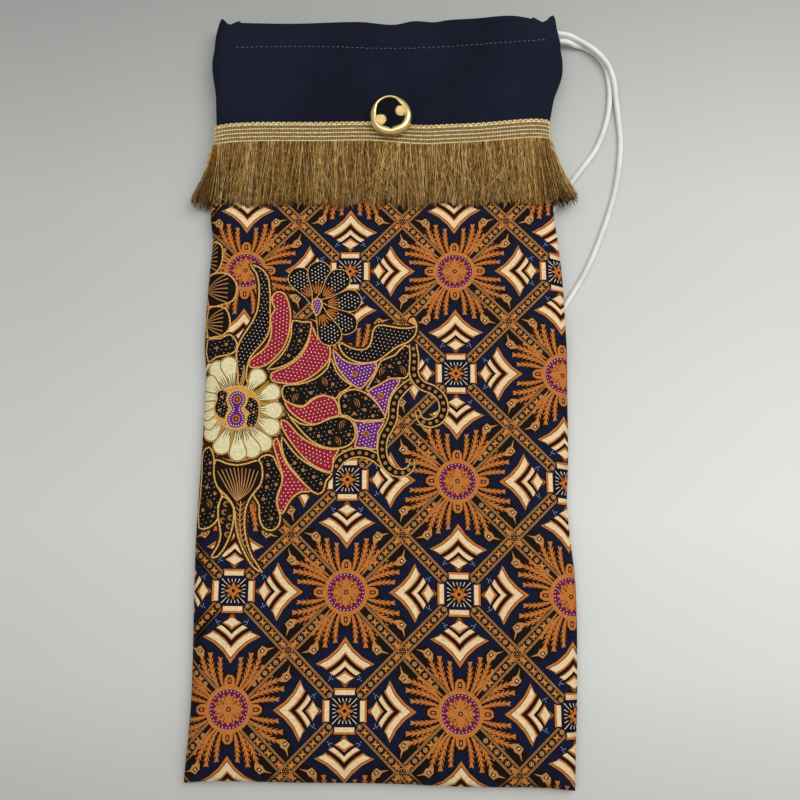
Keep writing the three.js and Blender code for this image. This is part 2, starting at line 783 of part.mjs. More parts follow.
function towards(from, to, distance) {
  const start = new THREE.Vector3(...from);
  return start.add(new THREE.Vector3(...to).sub(start).setLength(distance)).toArray();
}

function casingRoute() {
  const frontEnd = casingFrontRun[casingFrontRun.length - 1];
  const backEnd = casingBackRun[0];
  const middle = frontEnd.map((value, i) => (value + backEnd[i]) / 2);
  const half = frontEnd.map((value, i) => (value - backEnd[i]) / 2);
  const radius = Math.hypot(half[1], half[2]);
  const turn = [];
  for (let angle = 0; angle <= 180; angle += 30) {
    const a = THREE.MathUtils.degToRad(angle);
    const swing = Math.cos(a);
    turn.push([casingTurnX - radius * Math.sin(a), middle[1] + half[1] * swing, middle[2] + half[2] * swing]);
  }
  const exitFront = cordRoute[0];
  const exitBack = cordRoute[cordRoute.length - 1];
  const start = towards(exitFront, casingFrontRun[0], cordJointGap);
  const end = towards(exitBack, casingBackRun[casingBackRun.length - 1], cordJointGap);
  return [start, ...casingFrontRun, ...turn, ...casingBackRun, end];
}

const bag = new THREE.Group();

function addPiece(name, geometry, material, position = [0, 0, 0], turnY = 0) {
  const mesh = new THREE.Mesh(geometry, material);
  mesh.name = name;
  mesh.position.set(...position);
  mesh.rotation.y = turnY;
  bag.add(mesh);
}

addPiece('front_panel', makePanel(1, 12), cottonMaterial);
addPiece('back_panel', makePanel(-1, 13), cottonMaterial);
addPiece('band_front', makeBand(1, 11), navyMaterial);
addPiece('band_back', makeBand(-1, 10), navyMaterial);
addPiece('fringe_header', makeHeader(), goldThread);
addPiece('fringe_skirt', makeSkirt(), goldThread);

// A ring of thread ties the shank's eye down to the band, with the button's rim just above the header
const threadBase = outerHeight(1, buttonX, buttonY) + layerGap;
const eyeHeight = threadBase + threadRadius + 2 * threadLoop;
const buttonUnderside = buttonRimHeight - inlayHeight - inlayGap - buttonFloor;
const buttonBase = eyeHeight + shankRadius - buttonUnderside;
addPiece('button_body', makeButtonBody(), buttonGold, [buttonX, buttonY, buttonBase]);
addPiece('button_inlay', makeInlay(), inlayBlack, [buttonX, buttonY, buttonBase]);
const threadPlace = [buttonX, buttonY, eyeHeight - threadLoop];
addPiece('button_thread', makeButtonThread(), sewingThread, threadPlace, Math.PI / 2);

const casing = casingRoute();
addPiece('drawstring_casing_run', makeCord(casing, casing.length - 1), whiteBraid);
addPiece('drawstring_loop', makeCord(cordRoute, cordLoopSteps), whiteBraid);

export default bag;
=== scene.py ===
from math import cos, pi, radians, sin, sqrt

import bpy
import numpy as np
from mathutils.geometry import delaunay_2d_cdt
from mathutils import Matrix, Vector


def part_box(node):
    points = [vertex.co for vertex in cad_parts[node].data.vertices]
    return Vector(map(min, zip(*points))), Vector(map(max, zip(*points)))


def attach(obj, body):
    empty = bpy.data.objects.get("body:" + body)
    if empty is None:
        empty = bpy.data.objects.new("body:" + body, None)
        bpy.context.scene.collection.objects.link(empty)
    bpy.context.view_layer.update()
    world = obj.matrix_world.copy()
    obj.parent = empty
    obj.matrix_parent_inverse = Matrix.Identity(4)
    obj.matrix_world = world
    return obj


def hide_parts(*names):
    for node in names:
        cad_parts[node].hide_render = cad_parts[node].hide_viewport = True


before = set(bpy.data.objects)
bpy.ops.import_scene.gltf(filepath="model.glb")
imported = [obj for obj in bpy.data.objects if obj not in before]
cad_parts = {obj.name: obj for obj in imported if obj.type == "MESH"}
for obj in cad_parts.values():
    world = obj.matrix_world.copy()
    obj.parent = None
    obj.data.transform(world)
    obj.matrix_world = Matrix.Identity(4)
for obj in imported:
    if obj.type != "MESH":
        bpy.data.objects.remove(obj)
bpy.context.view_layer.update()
scene = bpy.context.scene
scene.view_settings.view_transform = "Standard"

# Camera: it stands above the bag and a little past its lower half, and looks almost straight down.
camera_data = bpy.data.cameras.new("camera")
camera_data.sensor_width = 36
camera_data.lens = 36
camera = bpy.data.objects.new("camera", camera_data)
camera.location = (0.0085, -0.1049, 0.4496)
camera.rotation_euler = (radians(11), 0, 0)
scene.collection.objects.link(camera)
scene.camera = camera


# Drawstring: one round braided polyester cord, 3 mm thick and white. It leaves the casing at the right
# side seam as two strands, which lie on the table and meet under the bag in one round bend.
def dye(red, green, blue):
    """A colour given as 0 to 255 on a screen, as light."""
    parts = [c / 255 for c in (red, green, blue)]
    return tuple(c / 12.92 if c <= 0.04045 else ((c + 0.055) / 1.055) ** 2.4 for c in parts) + (1,)


def node(tree, kind, inputs=None, **settings):
    made = tree.nodes.new(kind)
    for name, value in settings.items():
        setattr(made, name, value)
    for name, value in (inputs or {}).items():
        if isinstance(value, bpy.types.NodeSocket):
            tree.links.new(value, made.inputs[name])
        else:
            made.inputs[name].default_value = value
    return made


def maths(tree, operation, a, b=0.0):
    return node(tree, "ShaderNodeMath", {0: a, 1: b}, operation=operation).outputs[0]


def new_object(name, points, faces, edges=()):
    """A smooth mesh from points in millimetres."""
    mesh = bpy.data.meshes.new(name)
    mesh.from_pydata((np.asarray(points, float) * 0.001).tolist(), list(edges), faces)
    mesh.shade_smooth()
    made = bpy.data.objects.new(name, mesh)
    scene.collection.objects.link(made)
    return made


def new_material(name, roughness, **settings):
    material = bpy.data.materials.new(name)
    material.use_nodes = True
    surface = material.node_tree.nodes["Principled BSDF"]
    surface.inputs["Roughness"].default_value = roughness
    for key, value in settings.items():
        surface.inputs[key.replace("_", " ")].default_value = value
    return material, material.node_tree, surface


def spots(tree, fineness, detail=2.0):
    """Soft spots over the piece's own coordinates."""
    place = node(tree, "ShaderNodeTexCoord").outputs["Object"]
    return node(tree, "ShaderNodeTexNoise", {"Vector": place, "Scale": fineness, "Detail": detail}).outputs[0]


def mottled(tree, dark, bright, fineness, detail=2.0, low=0.0, high=1.0):
    """A colour that wanders between two dyes."""
    ramp = node(tree, "ShaderNodeValToRGB", {"Fac": spots(tree, fineness, detail)})
    for element, position, colour in zip(ramp.color_ramp.elements, (low, high), (dark, bright)):
        element.position = position
        element.color = dye(*colour)
    return ramp.outputs[0]


def mottled_material(name, roughness, dark, bright, fineness, detail=2.0, low=0.0, high=1.0, **settings):
    material, tree, surface = new_material(name, roughness, **settings)
    tree.links.new(mottled(tree, dark, bright, fineness, detail, low, high), surface.inputs["Base Color"])
    return material, tree, surface


def grain(tree, surface, height, strength, distance):
    """Raises the surface's finest relief."""
    relief = node(tree, "ShaderNodeBump", {"Height": height, "Strength": strength, "Distance": distance})
    tree.links.new(relief.outputs[0], surface.inputs["Normal"])


def new_tree(name, sockets):
    """A Geometry Nodes tree with Geometry in and out and the named inputs."""
    tree = bpy.data.node_groups.new(name, "GeometryNodeTree")
    tree.interface.new_socket("Geometry", in_out="INPUT", socket_type="NodeSocketGeometry")
    tree.interface.new_socket("Geometry", in_out="OUTPUT", socket_type="NodeSocketGeometry")
    for socket, kind in sockets.items():
        tree.interface.new_socket(socket, in_out="INPUT", socket_type="NodeSocket" + kind)
    return tree, tree.nodes.new("NodeGroupInput").outputs


def end_tree(tree, geometry, material):
    solid = node(tree, "GeometryNodeRealizeInstances", {"Geometry": geometry}).outputs[0]
    done = node(tree, "GeometryNodeSetMaterial", {"Geometry": solid, "Material": material}).outputs[0]
    smooth_done = node(tree, "GeometryNodeSetShadeSmooth", {"Geometry": done}).outputs[0]
    tree.links.new(smooth_done, tree.nodes.new("NodeGroupOutput").inputs[0])


def grow(carrier, tree, values):
    """Runs the tree on the carrier and leaves its result as a plain mesh under the carrier's name."""
    modifier = carrier.modifiers.new("grow", "NODES")
    modifier.node_group = tree
    for item in tree.interface.items_tree:
        if item.name in values:
            modifier[item.identifier] = values[item.name]
    graph = bpy.context.evaluated_depsgraph_get()
    mesh = bpy.data.meshes.new_from_object(carrier.evaluated_get(graph), depsgraph=graph)
    name = carrier.name
    bpy.data.objects.remove(carrier)
    made = bpy.data.objects.new(name, mesh)
    scene.collection.objects.link(made)
    return made


def smooth_route(points, steps=12):
    """A centripetal curve through the points."""
    p = np.array(points, float)
    p = np.vstack([2 * p[0] - p[1], p, 2 * p[-1] - p[-2]])
    out = []
    for a, b, c, d in zip(p, p[1:], p[2:], p[3:]):
        t = np.cumsum([0] + [max(1e-6, np.linalg.norm(v) ** 0.5) for v in (b - a, c - b, d - c)])
        for s in np.linspace(t[1], t[2], steps, endpoint=False):
            first = [(q * (t1 - s) + r * (s - t0)) / (t1 - t0)
                     for q, r, t0, t1 in ((a, b, t[0], t[1]), (b, c, t[1], t[2]), (c, d, t[2], t[3]))]
            second = [(first[0] * (t[2] - s) + first[1] * (s - t[0])) / (t[2] - t[0]),
                      (first[1] * (t[3] - s) + first[2] * (s - t[1])) / (t[3] - t[1])]
            out.append((second[0] * (t[2] - s) + second[1] * (s - t[1])) / (t[2] - t[1]))
    out.append(p[-2])
    return np.array(out)


cord_route = [
    (105.4, 210.4, 9.3), (112.6, 210.8, 7), (119.5, 208.6, 5.2), (129.6, 201.5, 4.8), (136.7, 192.3, 4.7),
    (139.9, 181.8, 4.3), (141, 170.3, 3), (142.3, 154.8, 1.6), (142.7, 142.2, 1.5), (141.4, 129.3, 1.5),
    (138.2, 112.1, 1.5), (133.4, 96.1, 1.5), (127.9, 81.5, 1.5), (121.8, 67.1, 1.5), (114.2, 52.8, 1.5),
    (106, 40, 1.5), (98, 29, 1.5), (88.5, 21, 1.5), (77.5, 18.3, 1.5), (67.8, 23.5, 1.5), (64.3, 34.3, 1.5),
    (67, 46.5, 1.5), (73.6, 58.5, 1.5), (81.3, 70.5, 1.5), (90.3, 84, 1.5), (100, 98.5, 1.5),
    (110, 113.2, 1.5), (118.5, 124.5, 1.5), (127.3, 136.9, 1.5), (133.8, 152.2, 1.5), (137.2, 167.6, 1.5),
    (137.6, 181.8, 1.5), (135.6, 193.2, 1.5), (130.2, 201.4, 1.5), (124, 205.4, 1.6), (118, 206.8, 2.5),
    (112, 207.7, 4.9), (107, 207.7, 5.6),
]
casing_front_run = [
    (105.1, 210.4, 9.4), (101, 211, 10.4), (96, 211.9, 11.5), (88, 212.8, 12.3), (50, 212.4, 12.3),
    (10, 210.3, 12.3), (-30, 210.6, 12.3), (-80, 210.6, 12.3),
]
casing_turn = [(-93.5 - 6 * sin(a), 207.1 + 3.5 * cos(a), 7.4 + 4.9 * cos(a)) for a in np.linspace(0, pi, 7)]
casing_back_run = [
    (-80, 203.6, 2.5), (-30, 203.6, 2.5), (20, 203.9, 2.5), (60, 205.5, 2.5), (88, 207.3, 2.5),
    (95, 207.6, 3.4), (101.5, 207.7, 5.3), (106.7, 207.7, 5.6),
]
cord_radius = 1.42

braid, braid_colours, braid_surface = mottled_material(
    "white braid", 0.8, (214, 213, 208), (238, 238, 235), 60.0, 3.0, 0.3, 0.7, Sheen_Weight=0.3)
grain(braid_colours, braid_surface, spots(braid_colours, 2600.0), 0.3, 0.0001)

braid_tree, given = new_tree("Round braid", {
    "Radius": "Float", "Sides": "Int", "Strands": "Float", "Lay": "Float", "Relief": "Float",
    "Material": "Material",
})
line = node(braid_tree, "GeometryNodeMeshToCurve", {"Mesh": given["Geometry"]}).outputs[0]
travel = node(braid_tree, "GeometryNodeSplineParameter").outputs["Length"]
kept = node(braid_tree, "GeometryNodeCaptureAttribute", {"Geometry": line})
kept.capture_items.new("FLOAT", "Travel")
braid_tree.links.new(travel, kept.inputs["Travel"])
ring = node(braid_tree, "GeometryNodeCurvePrimitiveCircle", {
    "Resolution": given["Sides"], "Radius": given["Radius"],
}).outputs[0]
round_place = node(braid_tree, "GeometryNodeSplineParameter").outputs["Factor"]
kept_ring = node(braid_tree, "GeometryNodeCaptureAttribute", {"Geometry": ring})
kept_ring.capture_items.new("FLOAT", "Place")
braid_tree.links.new(round_place, kept_ring.inputs["Place"])
tube = node(braid_tree, "GeometryNodeCurveToMesh", {
    "Curve": kept.outputs["Geometry"], "Profile Curve": kept_ring.outputs["Geometry"], "Fill Caps": True,
}).outputs[0]
turn = maths(braid_tree, "MULTIPLY", kept_ring.outputs["Place"], given["Strands"])
turn = maths(braid_tree, "MULTIPLY", turn, 2 * pi)
advance = maths(braid_tree, "DIVIDE", kept.outputs["Travel"], given["Lay"])
advance = maths(braid_tree, "MULTIPLY", advance, 2 * pi)
weave = maths(braid_tree, "MULTIPLY", maths(braid_tree, "SINE", maths(braid_tree, "ADD", turn, advance)),
              maths(braid_tree, "SINE", maths(braid_tree, "SUBTRACT", turn, advance)))
swell = maths(braid_tree, "MULTIPLY", maths(braid_tree, "ABSOLUTE", weave), given["Relief"])
outwards = node(braid_tree, "GeometryNodeInputNormal").outputs[0]
offset = node(braid_tree, "ShaderNodeVectorMath", {0: outwards, "Scale": swell}, operation="SCALE").outputs[0]
moved = node(braid_tree, "GeometryNodeSetPosition", {"Geometry": tube, "Offset": offset}).outputs[0]
end_tree(braid_tree, moved, given["Material"])


def braided(name, route):
    points = smooth_route(route)
    carrier = new_object(name, points, [], [(i, i + 1) for i in range(len(points) - 1)])
    return grow(carrier, braid_tree, {
        "Radius": cord_radius * 0.001, "Sides": 16, "Strands": 4.0, "Lay": 0.0042, "Relief": 0.00018,
        "Material": braid,
    })


drawstring = braided("drawstring", cord_route)
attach(drawstring, "root")
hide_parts("drawstring_loop")
casing_cord = braided("drawstring_in_casing", casing_front_run + casing_turn + casing_back_run)
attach(casing_cord, "root")
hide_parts("drawstring_casing_run")

# Front and back panels: plain-woven cotton with a batik print, sewn together at the bottom and at both
# side seams with their allowances turned in. The front carries a floral spray over its lattice.
bag_width, bag_length, bottom_y, fold_y = 206, 440, -222, 218
lap_top, lap_bottom, seam_end = 147, 137, 136.2
left_sway = [(0, .9), (.1, -1), (.28, .5), (.38, -.3), (.49, -.9), (.54, .8), (.625, .1), (.68, -1.1),
             (.71, .1), (.825, -1.4), (.88, -.3), (.914, 2.2), (.936, 3.3), (.957, 2.4), (.982, 1.6),
             (1.01, -1.2)]
right_sway = [(0, -3.6), (.05, -2.3), (.095, -.9), (.19, .8), (.24, .6), (.29, -1.2), (.335, -2),
              (.385, -.5), (.49, .7), (.545, .5), (.625, -.4), (.68, -2.4), (.71, -4.3), (.77, -6),
              (.825, -6.1), (.855, -3.8), (.885, -.9), (.914, 3.9), (.936, 5), (.957, 4), (.982, 1.9),
              (1.01, .5)]
bottom_sway = [(0, 1.2), (.07, 2.1), (.29, 1.2), (.54, .7), (.72, -.8), (.92, -1.3), (1, -2.7)]
fold_sway = [(0, -2.2), (.12, -3.3), (.24, -3.6), (.42, -2.2), (.52, -4.1), (.58, -1.6), (.64, -2.4),
             (.68, -1), (.76, .1), (.87, 2), (.955, -1), (1, -1)]
stitch_sway = [(0, -20.9), (.31, -20.2), (.49, -21.3), (.64, -20.6), (.77, -18.4), (.97, -14.8)]


def mix(a, b, share):
    """The value that lies that share of the way from a to b."""
    return a + (b - a) * share


def smooth(low, high, value):
    """Rises softly from 0 to 1 while the value goes from low to high."""
    share = np.clip((np.asarray(value, float) - low) / (high - low), 0, 1)
    return share * share * (3 - 2 * share)


def follow(points, place):
    """A smooth curve through (place, value) points."""
    p, v = np.array(points, float).T
    place = np.clip(np.asarray(place, float), p[0], p[-1])
    before = np.maximum(np.arange(len(p)) - 1, 0)
    after = np.minimum(np.arange(len(p)) + 1, len(p) - 1)
    slope = (v[after] - v[before]) / (p[after] - p[before])
    k = np.clip(np.searchsorted(p, place, side="right") - 1, 0, len(p) - 2)
    width = p[k + 1] - p[k]
    s = (place - p[k]) / width
    rise = (1 + 2 * s) * (1 - s) ** 2 * v[k] + s * s * (3 - 2 * s) * v[k + 1]
    return rise + width * (s * (1 - s) ** 2 * slope[k] - s * s * (1 - s) * slope[k + 1])


def rounded(distance, roll):
    """The rise of a quarter round, from 0 at the edge to 1 where the roll ends."""
    return np.sqrt(1 - (1 - np.clip(distance / roll, 0, 1)) ** 2)


front_roll, back_roll, bottom_roll = 14, 12, 22


def left_edge(y):
    return -(bag_width / 2 + follow(left_sway, (np.asarray(y) - bottom_y) / bag_length))


def right_edge(y):
    return bag_width / 2 + follow(right_sway, (np.asarray(y) - bottom_y) / bag_length)


def width_share(x, y):
    return (x - left_edge(y)) / (right_edge(y) - left_edge(y))


def edge_distance(x, y):
    return np.minimum(x - left_edge(y), right_edge(y) - x)


def bottom_edge(share):
    return bottom_y + follow(bottom_sway, share)


def cord_lift(x, y):
    """The bag's right side lies on the cord's hidden bend."""
    return 3.4 * smooth(28, 62, x) * smooth(-19, 15, y) * (1 - smooth(108, 142, y))


def underside_lift(x, y):
    return 2.4 * smooth(76, 92, y) * (1 - smooth(158, 176, y)) + cord_lift(x, y)


def seam_height(x, y):
    edge = np.where(width_share(x, y) < 0.5, left_edge(y), right_edge(y))
    return mix(2.6, 7.4, smooth(60, 195, y)) + underside_lift(edge, y)


def crown(side, x, y):
    """How far the cloth has rounded up from its side seams, from 0 to 1."""
    return rounded(edge_distance(x, y), front_roll if side > 0 else back_roll)


def outer_height(side, x, y):
    """The height of the cloth's outer face, on the front (side 1) or the back (side -1)."""
    gate = 3.3 * smooth(198, 203, y) * (1 - smooth(220, 225, y)) * (width_share(x, y) > 0.5)
    edge = seam_height(x, y) + side * (1.15 + gate)
    top = mix(10.6, 14.8, smooth(60, 195, y)) + 0.6 * cord_lift(x, y)
    level = top if side > 0 else underside_lift(x, y)
    end = rounded(y - bottom_edge(width_share(x, y)), bottom_roll)
    return mix(edge, level, crown(side, x, y) * end)


def ripple(side, x, y):
    """Soft waves of lying cloth, a fraction of a millimetre deep."""
    if side < 0:
        return 0 * x
    calm = smooth(0, 10, edge_distance(x, y)) * (1 - smooth(80, 96, y))
    long_wave = np.sin(0.021 * x + 0.034 * y + 0.5) * np.sin(0.043 * x - 0.013 * y)
    short_wave = np.sin(0.11 * x + 0.05 * y + 1.7) * np.sin(0.017 * x + 0.09 * y + 0.3)
    return calm * (0.45 * long_wave + 0.16 * short_wave)


def panel_height(side, x, y):
    """The printed panel's face, which dips under the band's lap."""
    share = np.maximum(crown(side, x, y), smooth(seam_end, lap_bottom, y))
    return outer_height(side, x, y) + ripple(side, x, y) - side * share * smooth(128, seam_end, y)


# The print's dyes
navy, ink, brown = dye(17, 22, 46), dye(25, 14, 9), dye(54, 28, 14)
tan, orange, gold = dye(188, 134, 78), dye(192, 114, 50), dye(206, 152, 72)
cream, petal_cream, white = dye(234, 206, 160), dye(226, 216, 168), dye(232, 226, 218)
red, magenta, purple = dye(150, 28, 44), dye(108, 24, 62), dye(104, 32, 112)
pale_blue, pale_dot = dye(150, 160, 200), dye(196, 192, 178)


def ray(angle):
    """The direction at an angle, or a row of directions for a row of angles."""
    return np.stack([np.cos(angle), np.sin(angle)], axis=-1)


def rosette(reaches, petals):
    """A closed curve round a centre; its reaches repeat for each petal."""
    count = len(reaches) * petals
    return np.tile(reaches, petals)[:, None] * ray(2 * pi * np.arange(count) / count)


def sideways(line):
    """The direction across the line at each of its points."""
    along = np.gradient(np.asarray(line, float), axis=0)
    return np.column_stack([-along[:, 1], along[:, 0]]) / np.linalg.norm(along, axis=1)[:, None]


def travelled(line):
    """How far along the line each of its points lies."""
    return np.concatenate([[0], np.cumsum(np.linalg.norm(np.diff(line, axis=0), axis=1))])


def along_line(line, distances):
    """The points that lie so far along the line."""
    return np.column_stack([np.interp(distances, travelled(line), line[:, i]) for i in (0, 1)])


def untangled(p, hair=1e-6):
    """The closed curve without the small loops where it crosses itself."""
    while True:
        d = np.roll(p, -1, axis=0) - p
        gap = p[None] - p[:, None]
        turn = d[:, None, 0] * d[None, :, 1] - d[:, None, 1] * d[None, :, 0]
        turn = np.where(np.abs(turn) < hair * hair, hair * hair, turn)
        here = (gap[..., 0] * d[None, :, 1] - gap[..., 1] * d[None, :, 0]) / turn
        there = (gap[..., 0] * d[:, None, 1] - gap[..., 1] * d[:, None, 0]) / turn
        crossed = (here > hair) & (here < 1 - hair) & (there > hair) & (there < 1 - hair)
        hits = np.argwhere(np.triu(crossed, 2))
        if not len(hits):
            return p
        i, j = hits[0]
        at = (p[i] + d[i] * here[i, j])[None]
        loop, rest = np.vstack([at, p[i + 1:j + 1]]), np.vstack([p[:i + 1], at, p[j + 1:]])
        p = loop if j - i > len(p) / 2 else rest


def inside(curve, places):
    """Which of the places lie within the closed curve."""
    x, y = places.T
    hit = np.zeros(len(places), bool)
    for (x0, y0), (x1, y1) in zip(curve, np.roll(curve, -1, axis=0)):
        crosses = (y0 > y) != (y1 > y)
        hit ^= crosses & (x < x0 + (x1 - x0) * (y - y0) / np.where(y1 == y0, 1e-9, y1 - y0))
    return hit


class Print:
    """Flat shapes of colour, painted one over the other."""

    def __init__(self):
        self.shapes = []

    def shape(self, points, colour, shortest=0.02):
        p = np.asarray(points, float)
        p = p[np.linalg.norm(p - np.roll(p, 1, axis=0), axis=1) > shortest]
        if len(p) < 3:
            return
        x, y = p.T
        if np.dot(x, np.roll(y, -1)) < np.dot(y, np.roll(x, -1)):
            p = p[::-1]
        self.shapes.append((p, colour))

    def cover(self, curve, colour):
        """A filled shape; what was painted before and lies wholly under it is left out."""
        low, high = curve.min(0), curve.max(0)
        lows = np.array([p.min(0) for p, _ in self.shapes])
        highs = np.array([p.max(0) for p, _ in self.shapes])
        close = np.flatnonzero((lows >= low).all(1) & (highs <= high).all(1))
        gone = {i for i in close if inside(curve, self.shapes[i][0]).all()}
        self.shapes = [shape for i, shape in enumerate(self.shapes) if i not in gone]
        self.shape(curve, colour)

    def discs(self, centre, *rings):
        """Round spots one inside the other, each given as its radius, colour and number of sides."""
        for radius, colour, sides in rings:
            self.shape(centre + rosette([radius], sides), colour)

    def dots(self, places, radius, colour, sides=4):
        for place in places:
            self.discs(place, (radius, colour, sides))

    def stroke(self, points, widths, colour, hide=False):
        """A line through the points that is as wide as the widths say, from its start to its end."""
        p = np.asarray(points, float)
        half = np.interp(np.linspace(0, 1, len(p)), np.linspace(0, 1, len(widths)), widths) / 2
        across = sideways(p) * half[:, None]
        line = np.vstack([p + across, (p - across)[::-1]])
        line = untangled(line) if len(line) > 12 else line
        (self.cover if hide else self.shape)(line, colour)

    def spokes(self, centre, count, start, reaches, widths, colour):
        """Short strokes round a centre, each through the same distances from it."""
        for k in range(count):
            direction = ray(start + 2 * pi * k / count)
            self.stroke([centre + reach * direction for reach in reaches], widths, colour)


# The lattice: stars and small squares take turns, with bands between them. A point of a star or square is
# given in steps of the lattice from its middle.
lattice_step = 60.3
lattice_start = np.array([40.0, 56.0])


def mirrored(points):
    """The points of one side of the axis, and then those of the other side on the way back."""
    return [*points, *((x, -y) for x, y in points[::-1])]


def turned(points, quarter, flip=1):
    """Points in lattice steps, turned by quarters of a turn and mirrored about their axis."""
    c, s = np.round(ray(quarter * pi / 2), 15)
    return np.asarray(points, float) * (1, flip) @ np.array([[c, s], [-s, c]]) * lattice_step


def frond(start, end, bow, leaflets=7, width=0.033, outer=1.0, inner=1.0):
    """A feathered leaf, bowed sideways, with leaflets swept forwards on both of its edges."""
    a, b = np.array(start, float), np.array(end, float)
    across = np.array([-(b - a)[1], (b - a)[0]])
    unit = across / np.linalg.norm(across)

    def at(place, half):
        return a + (b - a) * place + across * bow * 4 * place * (1 - place) + unit * half

    edges = []
    for side, share in ((1, outer), (-1, inner)):
        edge = []
        for i in range(leaflets):
            s = (i + 0.3 * (side > 0)) / (leaflets + 0.6)
            reach = width * share * (0.42 + 0.62 * sin(pi * min(1, s * 0.95 + 0.06)))
            edge += [at(s, side * 0.004), at(s + 1.4 / leaflets, side * reach)]
        edges.append(edge)
    return untangled(np.array([*edges[0], b, *edges[1][::-1]]))


def bowed(a, b, sag, steps=3):
    """Points from a towards b on a shallow arc, without b."""
    a, b = np.array(a, float), np.array(b, float)
    across = np.array([-(b - a)[1], (b - a)[0]])
    return [a + (b - a) * s + across * sag * 4 * s * (1 - s) for s in np.arange(steps) / steps]


def kite(apex, tip, end, sag=-0.09):
    """A kite with hollow sides: apex and end on its axis, tip at one side."""
    a, t, e, m = (apex, 0), tip, (end, 0), (tip[0], -tip[1])
    return bowed(a, m, -sag) + bowed(m, e, -sag) + bowed(e, t, -sag) + bowed(t, a, -sag)


star_ground = [(0.1, 0)] + mirrored([(0.25, 0.2), (0.47, 0.42), (0.53, 0.41), (0.57, 0.32), (0.5, 0.2),
                                     (0.42, 0.13), (0.35, 0.06)])
star_fronds = [
    frond((0.17, 0.05), (0.43, 0.088), 0.05, 6, 0.03, 1, 0.8),
    frond((0.165, 0.085), (0.47, 0.18), 0.07, 7, 0.032),
    frond((0.16, 0.112), (0.455, 0.262), 0.05, 7, 0.03),
    frond((0.145, 0.135), (0.365, 0.295), 0.02, 5, 0.026, 0.5, 1),
]
bud = [(0.44, 0.235), (0.49, 0.235), (0.535, 0.275), (0.512, 0.315), (0.522, 0.385), (0.497, 0.325),
       (0.455, 0.3)]
bud_heart = [(0.47, 0.265), (0.495, 0.25), (0.515, 0.28), (0.49, 0.3)]
bud_eye = [(0.493, 0.275)]
seeds = [np.array((0.735, 0.125)) + 0.024 * sqrt(k / 4) * ray(2.4 * k) for k in range(5)]
kite_layers = [
    (orange, 0.38, 0), (ink, 0.42, 0.012), (cream, 0.431, 0.016), (orange, 0.506, 0.018), (ink, 0.524, 0.01),
    (orange, 0.574, 0.018), (cream, 0.588, 0.02), (ink, 0.628, 0.01), (orange, 0.664, 0.018),
    (cream, 0.688, 0.026),
]


def paint_star(at, art):
    """One star of the lattice with its four kites and the bands that leave it."""
    for quarter in range(4):
        art.shape(at + turned(star_ground, quarter), ink)
        art.shape(at + turned(mirrored([(0.3, 0.03), (0.36, 0.06), (0.38, 0.03)]), quarter), navy)
    for quarter in range(4):
        for flip in (1, -1):
            for leaf in star_fronds:
                art.shape(at + turned(leaf, quarter, flip), orange)
            art.shape(at + turned(bud, quarter, flip), tan)
            art.shape(at + turned(bud_heart, quarter, flip), brown)
            art.dots(at + turned(bud_eye, quarter, flip), 0.6, cream, 5)
            art.dots(at + turned(seeds, quarter, flip), 0.33, pale_blue)
        art.shape(at + turned(kite(0.372, (0.607, 0.268), 0.815), quarter), ink)
        for colour, apex, border in kite_layers:
            share = max(0.02, (apex - 0.38) / 0.43)
            tip = (0.606 + 0.2 * share - 0.8 * border, (0.262 - 0.5 * border) * (1 - share))
            layer = kite(apex, tip, 0.806 - 1.3 * border, -0.09 * (1 - share))
            art.shape(at + turned(layer, quarter), colour)
        paint_band(at, quarter + 0.5, 0.19, (0.3, 0.43, 0.56), art)
        for half, colour in (([(0.18, 0.045), (0.25, 0.045), (0.285, 0.02)], orange),
                             ([(0.21, 0.017), (0.255, 0.017), (0.268, 0)], ink),
                             ([(0.222, 0.007), (0.25, 0.007)], tan)):
            art.shape(at + turned(mirrored(half), quarter), colour)
    reach = lattice_step
    art.discs(at, (0.2 * reach, orange, 32), (0.172 * reach, tan, 32), (0.166 * reach, magenta, 32))
    art.dots(at + rosette([0.152 * reach], 30), 0.33, white)
    art.shape(at + rosette([0.14 * reach, 0.102 * reach], 16), orange)
    art.spokes(at, 8, pi / 8, (0.075 * reach, 0.12 * reach), (0.25, 0.55), brown)
    art.spokes(at, 4, pi / 4, (0.055 * reach, 0.08 * reach, 0.105 * reach), (0.2, 1.5, 0.2), ink)
    art.spokes(at, 4, pi / 4, (0.067 * reach, 0.08 * reach, 0.093 * reach), (0.1, 0.7, 0.1), tan)
    art.discs(at, (0.022 * reach, ink, 8), (0.011 * reach, tan, 6))


def paint_band(at, quarter, start, beads, art):
    """A band from near the middle of a star or square to the next crossing, with beads and florets."""
    end = sqrt(0.5)
    for half, colour in ((0.058, ink), (0.05, tan), (0.043, brown), (0.037, tan), (0.032, ink)):
        art.shape(at + turned([(start, -half), (end, -half), (end, half), (start, half)], quarter), colour)
    for centre in at + turned([(bead, 0) for bead in beads], quarter):
        art.discs(centre, (0.022 * lattice_step, tan, 7), (0.014 * lattice_step, ink, 5),
                  (0.007 * lattice_step, cream, 4))
    for bead in beads:
        floret = np.array((bead + 0.065, 0))
        leaf = [(-0.03, 0), (0, 0.006), (0.03, 0), (0, -0.006)]
        art.shape(at + turned(floret + rosette([0.008, 0.03, 0.03], 4) * (1.15, 1), quarter), orange)
        art.shape(at + turned(floret + leaf, quarter), gold)


